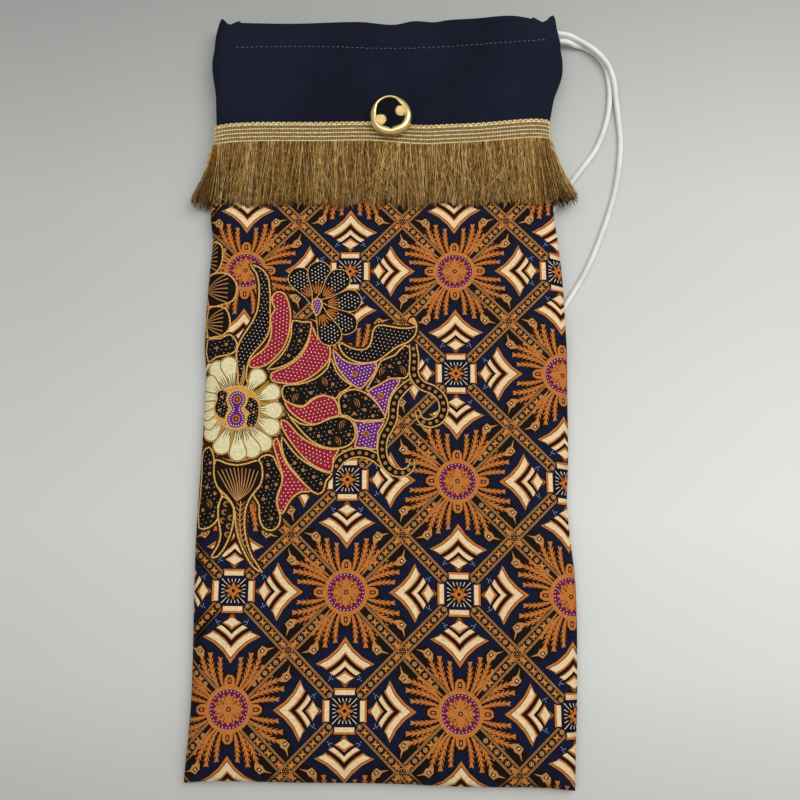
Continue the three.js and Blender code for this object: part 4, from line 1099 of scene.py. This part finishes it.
def band_mesh(name, side):
    """The band's face, the mouth's fold with its hem, and the cloth that turns in at both side seams."""
    steps = np.array([0, 0.3, 0.7, 1.2, 2, 3, 4.5, 6.5, 9, 11, 13, 14.8])
    middle = np.linspace(0, 1, 96)
    points, faces = [], []

    def columns(y):
        left, right = left_edge(y), right_edge(y)
        between = mix(left + hem_inset, right - hem_inset, middle)
        return np.concatenate([left + steps, between, right - steps[::-1]])

    def add_row(x, y, z):
        start = len(points)
        points.extend(np.column_stack([x, np.broadcast_to(y, np.shape(x)), z]).tolist())
        return list(range(start, start + len(x)))

    def join(rows):
        for lower, upper in zip(rows, rows[1:]):
            for i in range(len(lower) - 1):
                face = [lower[i], lower[i + 1], upper[i + 1], upper[i]]
                faces.append(face if side > 0 else face[::-1])

    ys = np.concatenate([np.linspace(lap_bottom, 190, 22), np.linspace(192, face_top, 16)])
    rows = [add_row(columns(y), y, band_height(side, columns(y), y)) for y in ys]
    shares = width_share(columns(fold_y), fold_y)
    edge_y = mouth_edge(columns(fold_y), fold_y)
    for rise in (0.25, 0.5, 0.75, 1):
        y = mix(face_top, edge_y, rise)
        x = mix(left_edge(y), right_edge(y), shares)
        rows.append(add_row(x, y, band_height(side, x, y)))
    join(rows)

    # The fold at the mouth, and the hem inside down to just below the stitches
    first, last = len(steps), len(shares) - len(steps)
    hem = [rows[-1][first:last]]
    x, y, z = np.array([points[i] for i in hem[0]]).T
    roll = casing_depth / 2
    for angle in np.linspace(0, pi, fold_steps + 1)[1:]:
        hem.append(add_row(x, y + roll * sin(angle), z - side * roll * (1 - cos(angle))))
    for above, depth in ((10, casing_depth), (6, casing_depth), (2.2, casing_depth), (0, stitch_depth),
                         (-2.5, stitch_depth)):
        y = stitch_y(shares[first:last]) + above
        x = mix(left_edge(y), right_edge(y), shares[first:last])
        hem.append(add_row(x, y, outer_height(side, x, y) - side * depth))
    join(hem)

    # The hem curls out towards the side seam at both ends of the casing
    for end, outwards in ((0, -1), (-1, 1)):
        hem_end = [row[end] for row in hem[fold_steps:fold_steps + 4]][::outwards]
        x, y, z = np.array([points[i] for i in hem_end]).T
        strip = [hem_end]
        for swing in np.radians((30, 55, 80)):
            share = (1 - cos(swing)) / (1 - cos(radians(80)))
            low = mix(z, seam_height(x, y) + side * 0.15, share)
            strip.append(add_row(x + outwards * 2.4 * sin(swing), y, low))
        join(strip[::-1])

    # The borders turn in as seam allowances, at the right only up to where the cord comes out
    for end, outwards in ((0, -1), (-1, 1)):
        row_ys = [*ys, *[fold_y] * 4]
        sewn = [row[end] for row, row_y in zip(rows, row_ys) if end == 0 or row_y <= cord_exit_y][::outwards]
        x, y, z = np.array([points[i] for i in sewn]).T
        strip = [sewn]
        for depth, drop in ((0.3, 0.65), (1, 1), (np.where(y > cord_exit_y, 3.5, 9), 1)):
            strip.append(add_row(x - outwards * depth, y, z - side * drop))
        join(strip[::-1])
    return new_object(name, *thickened(points, faces))


twill, twill_colours, twill_surface = new_material("navy twill", 0.85, Specular_IOR_Level=0.06)
slanted = node(twill_colours, "ShaderNodeMapping", {
    "Vector": node(twill_colours, "ShaderNodeTexCoord").outputs["Object"],
    "Rotation": (0, 0, radians(62)), "Scale": (1, 1, 0.05),
}).outputs[0]
ridges = node(twill_colours, "ShaderNodeTexWave", {
    "Vector": slanted, "Scale": 330.0, "Distortion": 1.2, "Detail": 2.0, "Detail Scale": 2.0,
}).outputs["Fac"]
navy_dyes = mottled(twill_colours, (17, 21, 32), (27, 31, 46), 14.0, 4.0, 0.3, 0.72)
# The ridges lighten and darken the navy dye: painted light and shade on the twill's ridges, beside their
# bump.
light = node(twill_colours, "ShaderNodeMapRange", {"Value": ridges, "To Min": 0.82, "To Max": 1.2}).outputs[0]
ridged = node(twill_colours, "ShaderNodeVectorMath", {0: navy_dyes, "Scale": light}, operation="SCALE")
twill_colours.links.new(ridged.outputs[0], twill_surface.inputs["Base Color"])
grain(twill_colours, twill_surface, ridges, 0.35, 0.0002)

for name, side, stands_for in (("band_front_cloth", 1, "band_front"), ("band_back_cloth", -1, "band_back")):
    band = band_mesh(name, side)
    band.data.materials.append(twill)
    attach(band, "root")
    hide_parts(stands_for)

# Casing stitches: one row of pale machine stitches below the mouth, through the front of the band and
# through its back.
repeat_tree, given = new_tree("Repeated piece", {"Piece": "Object", "Material": "Material"})


def attribute(tree, name, data_type="FLOAT_VECTOR"):
    return node(tree, "GeometryNodeInputNamedAttribute", {"Name": name}, data_type=data_type).outputs[0]


piece = node(repeat_tree, "GeometryNodeObjectInfo", {"Object": given["Piece"]}, transform_space="ORIGINAL")
raised = node(repeat_tree, "FunctionNodeAlignRotationToVector", {"Vector": attribute(repeat_tree, "out")},
              axis="Z").outputs[0]
aimed = node(repeat_tree, "FunctionNodeAlignRotationToVector", {
    "Rotation": raised, "Vector": attribute(repeat_tree, "run"),
}, axis="X", pivot_axis="Z").outputs[0]
placed = node(repeat_tree, "GeometryNodeInstanceOnPoints", {
    "Points": given["Geometry"], "Instance": piece.outputs["Geometry"], "Rotation": aimed,
    "Scale": attribute(repeat_tree, "size", "FLOAT"),
}).outputs[0]
end_tree(repeat_tree, placed, given["Material"])


def mark(carrier, vectors):
    """Stores one vector per point under each name, for the tree to read."""
    for label, values in vectors.items():
        kept = carrier.data.attributes.new(label, "FLOAT_VECTOR", "POINT")
        kept.data.foreach_set("vector", np.asarray(values, np.float32).ravel())


def repeated(name, piece, at, run, out, material, size=None):
    """Copies of the piece at the given points, each aimed along run with its top towards out."""
    carrier = new_object(name, at, [])
    mark(carrier, {"run": run, "out": out})
    sizes = carrier.data.attributes.new("size", "FLOAT", "POINT")
    sizes.data.foreach_set("value", np.asarray(np.ones(len(at)) if size is None else size, np.float32))
    return grow(carrier, repeat_tree, {"Piece": piece, "Material": material})


def bead(name, length, width, height, around=8, rows=5):
    """A rounded bead that lies along X."""
    points, faces = [(-length / 2, 0, 0)], []
    for row in range(1, rows):
        swing = pi * row / rows
        for k in range(around):
            angle = 2 * pi * k / around
            points.append((-length / 2 * cos(swing), width / 2 * sin(swing) * cos(angle),
                           height / 2 * sin(swing) * sin(angle)))
    points.append((length / 2, 0, 0))
    for k in range(around):
        j = (k + 1) % around
        faces.append([0, 1 + k, 1 + j])
        for row in range(rows - 2):
            a = 1 + row * around
            faces.append([a + k, a + around + k, a + around + j, a + j])
        faces.append([len(points) - 1, 1 + (rows - 2) * around + j, 1 + (rows - 2) * around + k])
    return new_object(name, points, faces)


def on_band(side, x, y, slope=0.5):
    """Places on the band's face, with the direction along X and the way out of the cloth."""
    z = band_height(side, x, y)
    zx = (band_height(side, x + slope, y) - band_height(side, x - slope, y)) / (2 * slope)
    zy = (band_height(side, x, y + slope) - band_height(side, x, y - slope)) / (2 * slope)
    run = np.column_stack([np.ones_like(x), 0 * x, zx])
    out = np.column_stack([-zx, -zy, np.ones_like(x)]) * side
    return np.column_stack([x, y, z]), run, out / np.linalg.norm(out, axis=1)[:, None]


pale_thread = mottled_material(
    "pale sewing thread", 0.6, (66, 72, 88), (112, 118, 132), 800.0, Sheen_Weight=0.2)[0]
stitch_pitch, stitch_length, stitch_width, stitch_height = 2.9, 1.7, 0.42, 0.34
stitch = bead("stitch", stitch_length, stitch_width, stitch_height)
stitch_x = np.arange(-90, 97, stitch_pitch)
for name, side in (("casing_stitches_front", 1), ("casing_stitches_back", -1)):
    at, run, out = on_band(side, stitch_x, stitch_y(width_share(stitch_x, 198)))
    stitches = repeated(name, stitch, at + 0.08 * out, run, out, pale_thread)
    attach(stitches, "root")
bpy.data.objects.remove(stitch)

# Fringe header: a woven tape of metallic thread, sewn round the bag over the lap. Five bright cords run
# along it over a dark ladder of cross threads, and small picot loops stand along its upper edge.
header_bottom, header_height, header_cords, cord_pitch = 134.6, 12.4, 5, 2.45
bead_pitch, picot_pitch, crossbar_rise = 0.98, 3.1, 1.22
tape_sway = [(-98, -.4), (-75, .6), (-39, .6), (-9, .9), (21, -1.3), (40, -.6), (56, .2), (80, 2.4),
             (96, 3.4)]
loops = {}


def cloth_loop(y):
    """One turn round the bag, from the left edge over the front to the right and back below."""
    if y not in loops:
        left, right = float(left_edge(y)), float(right_edge(y))
        roll = front_roll * (1 - np.cos(np.linspace(0, pi / 2, 14)))
        flat = np.linspace(left + front_roll, right - front_roll, 60)[1:-1]
        x = np.concatenate([left + roll, flat, right - roll[::-1]])
        front = np.column_stack([x, outer_height(1, x, y)])
        back = np.column_stack([x, outer_height(-1, x, y)])[::-1]
        ends = [[(edge, float(seam_height(edge, y)))] for edge in (left, right)]
        loops[y] = np.vstack([ends[0], front, ends[1], back, ends[0]])
    return loops[y]


def round_bag(y, share, offset):
    """Points round the bag at height y along it, with the direction along the loop and the way out."""
    loop = cloth_loop(y)
    share = np.asarray(share, float)

    def place(shares):
        return along_line(loop, (shares - np.floor(shares)) * travelled(loop)[-1])

    at, run = place(share), place(share + 0.003) - place(share - 0.003)
    run /= np.linalg.norm(run, axis=1)[:, None]
    out = np.column_stack([-run[:, 1], 0 * share, run[:, 0]])
    xyz = np.column_stack([at[:, 0], y + follow(tape_sway, at[:, 0]), at[:, 1]])
    xyz += np.asarray(offset, float).reshape(-1, 1) * out
    return xyz, np.column_stack([run[:, 0], 0 * share, run[:, 1]]), out


def metallic_thread(name, dark, bright, roughness, fineness, metallic):
    return mottled_material(name, roughness, dark, bright, fineness, 3.0, 0.35, 0.65, Metallic=metallic)[0]


tape_gold = metallic_thread("bright gold thread", (222, 182, 108), (255, 238, 184), 0.42, 700.0, 0.35)
tape_dark = metallic_thread("brown tape ground", (28, 16, 7), (58, 36, 15), 0.8, 500.0, 0.0)

turns = np.linspace(0, 1, 320, endpoint=False)
profile = [(0.2, 0.25), (0.2, 0.75), (0.5, 0.8), (header_height - 1.4, 0.8), (header_height - 1.1, 0.75),
           (header_height - 1.1, 0.25)]
ground_points = np.vstack([round_bag(header_bottom + up, turns, off)[0] for up, off in profile])
ground_faces = []
for r in range(len(profile)):
    s = (r + 1) % len(profile)
    for k in range(len(turns)):
        j = (k + 1) % len(turns)
        a, b = r * len(turns), s * len(turns)
        ground_faces.append([a + k, a + j, b + j, b + k])
tape_ground = new_object("fringe_header_ground", ground_points, ground_faces)
tape_ground.data.materials.append(tape_dark)
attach(tape_ground, "root")
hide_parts("fringe_header")


def places_apart(pitch):
    """Places all round the bag, about so many millimetres apart."""
    count = int(travelled(cloth_loop(header_bottom))[-1] / pitch)
    return np.arange(count) / count


def stacked(rows):
    """The points, directions and ways out of several rows as one list each."""
    return [np.vstack(parts) for parts in zip(*rows)]


tape_bead = bead("tape_bead", 1.02, 1.15, 0.9, 6, 4)
crossbar = bead("crossbar", 2.3, 0.3, 0.5, 5, 4)
bead_places = places_apart(bead_pitch)
bead_share = 1 / len(bead_places)
cord_ys = [header_bottom + 0.9 + cord_pitch * k for k in range(header_cords)]
bead_rows = stacked([round_bag(y, bead_places + 0.3 * (k % 2) * bead_share, 1.05)
                     for k, y in enumerate(cord_ys)])
beads = repeated("fringe_header_cords", tape_bead, *bead_rows, tape_gold)
bar_at, _, bar_out = stacked([round_bag(y + crossbar_rise, bead_places + 0.5 * bead_share, 0.88)
                              for y in cord_ys])
lengthwise = np.tile([0.0, 1.0, 0.0], (len(bar_at), 1))
bars = repeated("fringe_header_cross_threads", crossbar, bar_at, lengthwise, bar_out, tape_gold)
picot_arc = smooth_route([(-1.35, -0.5, 0), (-0.9, 0.55, 0.1), (0, 1.05, 0.15), (0.9, 0.55, 0.1),
                          (1.35, -0.5, 0)], 3)
picot_line = new_object("picot", picot_arc, [], [(i, i + 1) for i in range(len(picot_arc) - 1)])
picot = grow(picot_line, braid_tree, {
    "Radius": 0.00034, "Sides": 6, "Strands": 1.0, "Lay": 0.0011, "Relief": 0.0001, "Material": tape_gold,
})
picot_places = round_bag(header_bottom + header_height - 1.15, places_apart(picot_pitch), 0.95)
picots = repeated("fringe_header_picots", picot, *picot_places, tape_gold)
for made in (beads, bars, picots):
    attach(made, "root")
for shape in (tape_bead, crossbar, picot):
    bpy.data.objects.remove(shape)

# Fringe skirt: many hundreds of fine metallic strands, which hang from the header with cut ragged ends.
# They splay out past the bag's side edges, and a few stray across the others.
strand_root_y, strand_bend_y, strand_tip_y, strand_steps = header_bottom + 0.3, 118.0, 102.0, 7
lowest_strand, right_splay, left_splay = 0.7, 13, 10.5
skirt_tree, given = new_tree("Hanging strands", {
    "Steps": "Int", "Root width": "Float", "Tip width": "Float", "Material": "Material",
})
straight = node(skirt_tree, "GeometryNodeCurvePrimitiveLine", {"End": (0, 0, 0.01)}).outputs[0]
stepped = node(skirt_tree, "GeometryNodeResampleCurve", {"Curve": straight, "Count": given["Steps"]})
hung = node(skirt_tree, "GeometryNodeInstanceOnPoints", {
    "Points": given["Geometry"], "Instance": stepped.outputs[0],
})
freed = node(skirt_tree, "GeometryNodeRealizeInstances", {"Geometry": hung.outputs[0]}).outputs[0]
fall = node(skirt_tree, "GeometryNodeSplineParameter").outputs["Factor"]


def vector_mix(a, b):
    mixed = node(skirt_tree, "ShaderNodeMix", {"Factor": fall, 4: a, 5: b}, data_type="VECTOR")
    return mixed.outputs[1]


root_at, bend_at, tip_at = (attribute(skirt_tree, name) for name in ("root_at", "bend_at", "tip_at"))
on_strand = vector_mix(vector_mix(root_at, bend_at), vector_mix(bend_at, tip_at))
bent = node(skirt_tree, "GeometryNodeSetPosition", {"Geometry": freed, "Position": on_strand}).outputs[0]
width = node(skirt_tree, "ShaderNodeMapRange", {
    "Value": fall, "To Min": given["Root width"], "To Max": given["Tip width"],
}).outputs[0]
section = node(skirt_tree, "GeometryNodeCurvePrimitiveCircle", {"Resolution": 3, "Radius": 0.5}).outputs[0]
strand = node(skirt_tree, "GeometryNodeCurveToMesh", {
    "Curve": bent, "Profile Curve": section, "Scale": width, "Fill Caps": True,
}).outputs[0]
end_tree(skirt_tree, strand, given["Material"])


def hanging(name, count, seed, offsets, end_y, spread, sweep, widths, material, shares):
    """Strands between two shares of the way round the bag, with cut ends near end_y.

    The offsets are how far they lie off the cloth at root, bend and tip."""
    random = np.random.default_rng(seed)
    share = random.uniform(*shares, count)
    from_left = np.minimum(share, 1 - share)
    from_right = np.abs(share - 0.5)
    splay = right_splay * np.exp(-(from_right / 0.02) ** 2) - left_splay * np.exp(-(from_left / 0.016) ** 2)
    stand = 1.3 * np.abs(splay) / 17 + 0.5 * (share > 0.5)
    layer = random.random(count)
    tip_y = end_y + random.normal(0, 1.4, count) + 0.35 * np.abs(splay)
    tip_y += 1.2 * np.sin(share * 61) + 0.8 * np.sin(share * 143 + 1)
    lean = sweep * np.sin(share * 37 + seed) + random.normal(0, spread, count)
    lean /= travelled(cloth_loop(header_bottom))[-1]
    root, bend, tip = (
        round_bag(y, share + part * lean, offset + depth * layer + stand)[0] for y, part, offset, depth in
        zip((strand_root_y, strand_bend_y, strand_tip_y), (0, 0.35, 1), offsets, (0.7, 0.8, 0.9)))
    bend[:, 0] += 0.22 * splay
    tip[:, 0] += splay * random.uniform(0.75, 1.12, count)
    tip[:, 1] = tip_y
    tip[:, 2] = np.maximum(tip[:, 2], lowest_strand)
    carrier = new_object(name, root, [])
    mark(carrier, {"root_at": root * 0.001, "bend_at": bend * 0.001, "tip_at": tip * 0.001})
    return grow(carrier, skirt_tree, {
        "Steps": strand_steps, "Root width": widths[0] * 0.001, "Tip width": widths[1] * 0.001,
        "Material": material,
    })


# The strands are one gold thread in three tones: the dark copy is painted shade on the strands beneath, the
# bright copy painted light on the top strands, strays and tufts.
strand_painted_shade = metallic_thread("shaded gold strand", (60, 39, 12), (94, 64, 24), 0.5, 420.0, 0.6)
strand_gold = metallic_thread("gold strand", (108, 75, 26), (160, 116, 50), 0.38, 420.0, 0.7)
strand_painted_light = metallic_thread("bright gold strand", (190, 146, 74), (240, 208, 136), 0.35, 300.0, 0.6)
for name, material, count, seed, offsets, end_y, spread, sweep, widths, shares in (
    ("fringe_under_strands", strand_painted_shade, 1500, 3, (0.5, 0.4, 0.4), 98.0, 3.0, 2.0, (0.62, 0.5), (0, 1)),
    ("fringe_strands", strand_gold, 2300, 5, (0.9, 0.8, 0.8), 97.0, 3.6, 2.5, (0.3, 0.2), (0, 1)),
    ("fringe_bright_strands", strand_painted_light, 620, 8, (1.2, 1.2, 1.1), 96.6, 5.0, 2.0, (0.24, 0.14), (0, 1)),
    ("fringe_stray_strands", strand_painted_light, 60, 13, (1.5, 1.8, 1.7), 97.5, 17.0, 3.0, (0.22, 0.16),
     (0.01, 0.49)),
    ("fringe_left_tuft", strand_painted_light, 90, 17, (1.2, 1.2, 1.1), 97.5, 1.2, 0.5, (0.26, 0.18),
     (-0.012, 0.006)),
    ("fringe_right_tuft", strand_painted_light, 60, 19, (1.2, 1.2, 1.1), 98.5, 3.5, 0.5, (0.22, 0.14),
     (0.492, 0.508)),
):
    strands = hanging(name, count, seed, offsets, end_y, spread, sweep, widths, material, shares)
    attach(strands, "root")
    if name == "fringe_under_strands":
        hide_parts("fringe_skirt")

# Button: a round shank button, 25.4 mm across, cast in gold-coloured metal with a glossy black centre.
# Two pebbled scrolls reach in from its rim. Navy thread ties its shank to the band.
button_x, button_y, button_r = 3.2, 149.8, 12.7
button_base = float(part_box("button_body")[1].z) * 1000 - 4.4
dome_height, dome_fall, pebble_height = 4.1, 0.3, 4.15
opening = [(-180, 8.5), (-160, 8.6), (-135, 8.9), (-110, 8.1), (-97, 8.3), (-90, 9.0), (-83, 8.3), (-70, 7.8),
           (-45, 8.3), (-20, 8.3), (0, 8.2), (25, 8.4), (45, 8.6), (60, 9.0), (75, 10.2), (90, 10.8),
           (110, 10.8), (135, 10.3), (155, 9.2), (180, 8.5)]
around = np.linspace(-180, 180, 144, endpoint=False)
spokes = list(zip(np.radians(around), follow(opening, around)))
rim_profile = [(0, 3.0), (0, 4.0), (0.12, 4.4), (0.35, 4.7), (0.62, 4.3), (0.82, 3.6), (0.95, 2.6), (1, 1.6),
               (0.95, 0.6), (0.8, 0.15), (0.5, 0.1), (-0.6, 1.0)]


def button_point(angle, reach, height):
    return button_x + reach * cos(angle), button_y + reach * sin(angle), button_base + height


rim_points, rim_faces = [], []
for angle, inner in spokes:
    for share, height in rim_profile:
        reach = mix(inner, button_r, share) if share >= 0 else 0.6 * inner
        rim_points.append(button_point(angle, reach, height))
rows = len(rim_profile)
for k in range(len(spokes)):
    j = (k + 1) % len(spokes)
    rim_faces += [[k * rows + i, k * rows + i + 1, j * rows + i + 1, j * rows + i] for i in range(rows - 1)]
rim_faces.append([k * rows + rows - 1 for k in range(len(spokes))][::-1])
button_gold = mottled_material(
    "button gold", 0.27, (220, 186, 112), (250, 230, 172), 160.0, 4.0, Metallic=1.0)[0]
button = new_object("button_rim", rim_points, rim_faces)
button.data.materials.append(button_gold)
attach(button, "root")
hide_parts("button_body")

random = np.random.default_rng(21)
pebble = bead("pebble", 1, 1, 1, 10, 8)
pebbles, sizes = [], []
for scroll_x, scroll_y, scroll_r in ((-6.1, -3.3, 3.1), (5.7, 2.4, 3.1)):
    for ring, many in ((0.0, 1), (0.36, 6), (0.7, 11), (0.98, 16)):
        for k in range(many):
            angle = 2 * pi * (k + 0.5 * (ring > 0.5)) / many + 0.4
            x, y, z = button_point(angle, ring * scroll_r, pebble_height - 0.5 * ring)
            pebbles.append((x + scroll_x, y + scroll_y, z))
            sizes.append((1.9 if ring < 0.9 else 1.25) * random.uniform(0.85, 1.1))
flat_run, flat_out = np.tile([1.0, 0, 0], (len(pebbles), 1)), np.tile([0, 0, 1.0], (len(pebbles), 1))
scrolls = repeated("button_scrolls", pebble, pebbles, flat_run, flat_out, button_gold, sizes)
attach(scrolls, "root")
bpy.data.objects.remove(pebble)

enamel = mottled_material("black enamel", 0.1, (5, 6, 9), (15, 16, 21), 60.0, Specular_IOR_Level=0.12)[0]
dome_rings = 8
inlay_points, inlay_faces = [(button_x, button_y, button_base + dome_height)], []
for share in np.linspace(1 / dome_rings, 1, dome_rings):
    inlay_points += [button_point(angle, (inner + 0.15) * share, dome_height - dome_fall * share ** 2)
                     for angle, inner in spokes]
for k in range(len(spokes)):
    j = (k + 1) % len(spokes)
    inlay_faces.append([0, 1 + k, 1 + j])
    for ring in range(dome_rings - 1):
        a = 1 + ring * len(spokes)
        inlay_faces.append([a + k, a + len(spokes) + k, a + len(spokes) + j, a + j])
inlay = new_object("button_enamel", inlay_points, inlay_faces)
inlay.data.materials.append(enamel)
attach(inlay, "root")
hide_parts("button_inlay")

navy_thread = mottled_material("navy sewing thread", 0.75, (20, 24, 38), (40, 46, 66), 900.0)[0]
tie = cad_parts["button_thread"]
tie.data.materials.clear()
tie.data.materials.append(navy_thread)

# Table: a pale grey sheet under the bag, in soft daylight from a window at the right. The sheet's colour
# holds painted light and shade: a little brighter towards the right, and darker towards the top.
table_top = new_object("table_top", [(-1500, -1500, 0), (1500, -1500, 0), (1500, 1500, 0), (-1500, 1500, 0)],
                       [[0, 1, 2, 3]])
paper, paper_colours, paper_surface = new_material("pale grey paper", 0.85, Specular_IOR_Level=0.2)
apart = node(paper_colours, "ShaderNodeSeparateXYZ", {
    0: node(paper_colours, "ShaderNodeTexCoord").outputs["Object"],
})


def shaded(axis, low, high, tones):
    """Painted light and shade on the sheet along one axis, each tone at its share of the way from low to high
    in metres.
    """
    share = node(paper_colours, "ShaderNodeMapRange", {
        "Value": apart.outputs[axis], "From Min": low, "From Max": high,
    }).outputs[0]
    ramp = node(paper_colours, "ShaderNodeValToRGB", {"Fac": share})
    for place, _ in tones[1:-1]:
        ramp.color_ramp.elements.new(place)
    for element, (_, tone) in zip(ramp.color_ramp.elements, tones):
        element.color = tone
    return ramp.outputs[0]


def grey(tone):
    return tone, tone, tone, 1


# Painted light: the sheet brighter towards the window at the right. Painted shade: darker at the bottom edge
# and much darker towards the top.
painted_light_along_x = shaded("X", -0.2, 0.22, [(0, dye(204, 205, 201)), (1, dye(223, 224, 219))])
painted_light_along_y = shaded("Y", -0.23, 0.25, [
    (0, (0.84, 0.82, 0.81, 1)), (0.13, grey(0.98)), (0.3, grey(1.04)), (0.45, grey(0.96)), (0.57, grey(0.88)),
    (0.7, grey(0.82)), (0.85, grey(0.68)), (1, grey(0.55)),
])
painted_light_tones = node(paper_colours, "ShaderNodeMix", {"Factor": 1.0, 6: painted_light_along_x, 7: painted_light_along_y},
             data_type="RGBA", blend_type="MULTIPLY")
paper_colours.links.new(painted_light_tones.outputs[2], paper_surface.inputs["Base Color"])
table_top.data.materials.append(paper)

world = bpy.data.worlds.new("room")
world.use_nodes = True
world.node_tree.nodes["Background"].inputs["Color"].default_value = (1, 1, 1, 1)
world.node_tree.nodes["Background"].inputs["Strength"].default_value = 0.43
scene.world = world
for name, place, turn, size, power in (
    ("window", (0.55, 0.35, 0.9), (radians(-22), radians(32), 0), 0.8, 6.2),
    ("ceiling", (-0.3, 0.1, 1.2), (0, radians(-14), 0), 1.0, 4.1),
):
    lamp_data = bpy.data.lights.new(name, "AREA")
    lamp_data.size = size
    lamp_data.energy = power
    lamp = bpy.data.objects.new(name, lamp_data)
    lamp.location = place
    lamp.rotation_euler = turn
    scene.collection.objects.link(lamp)
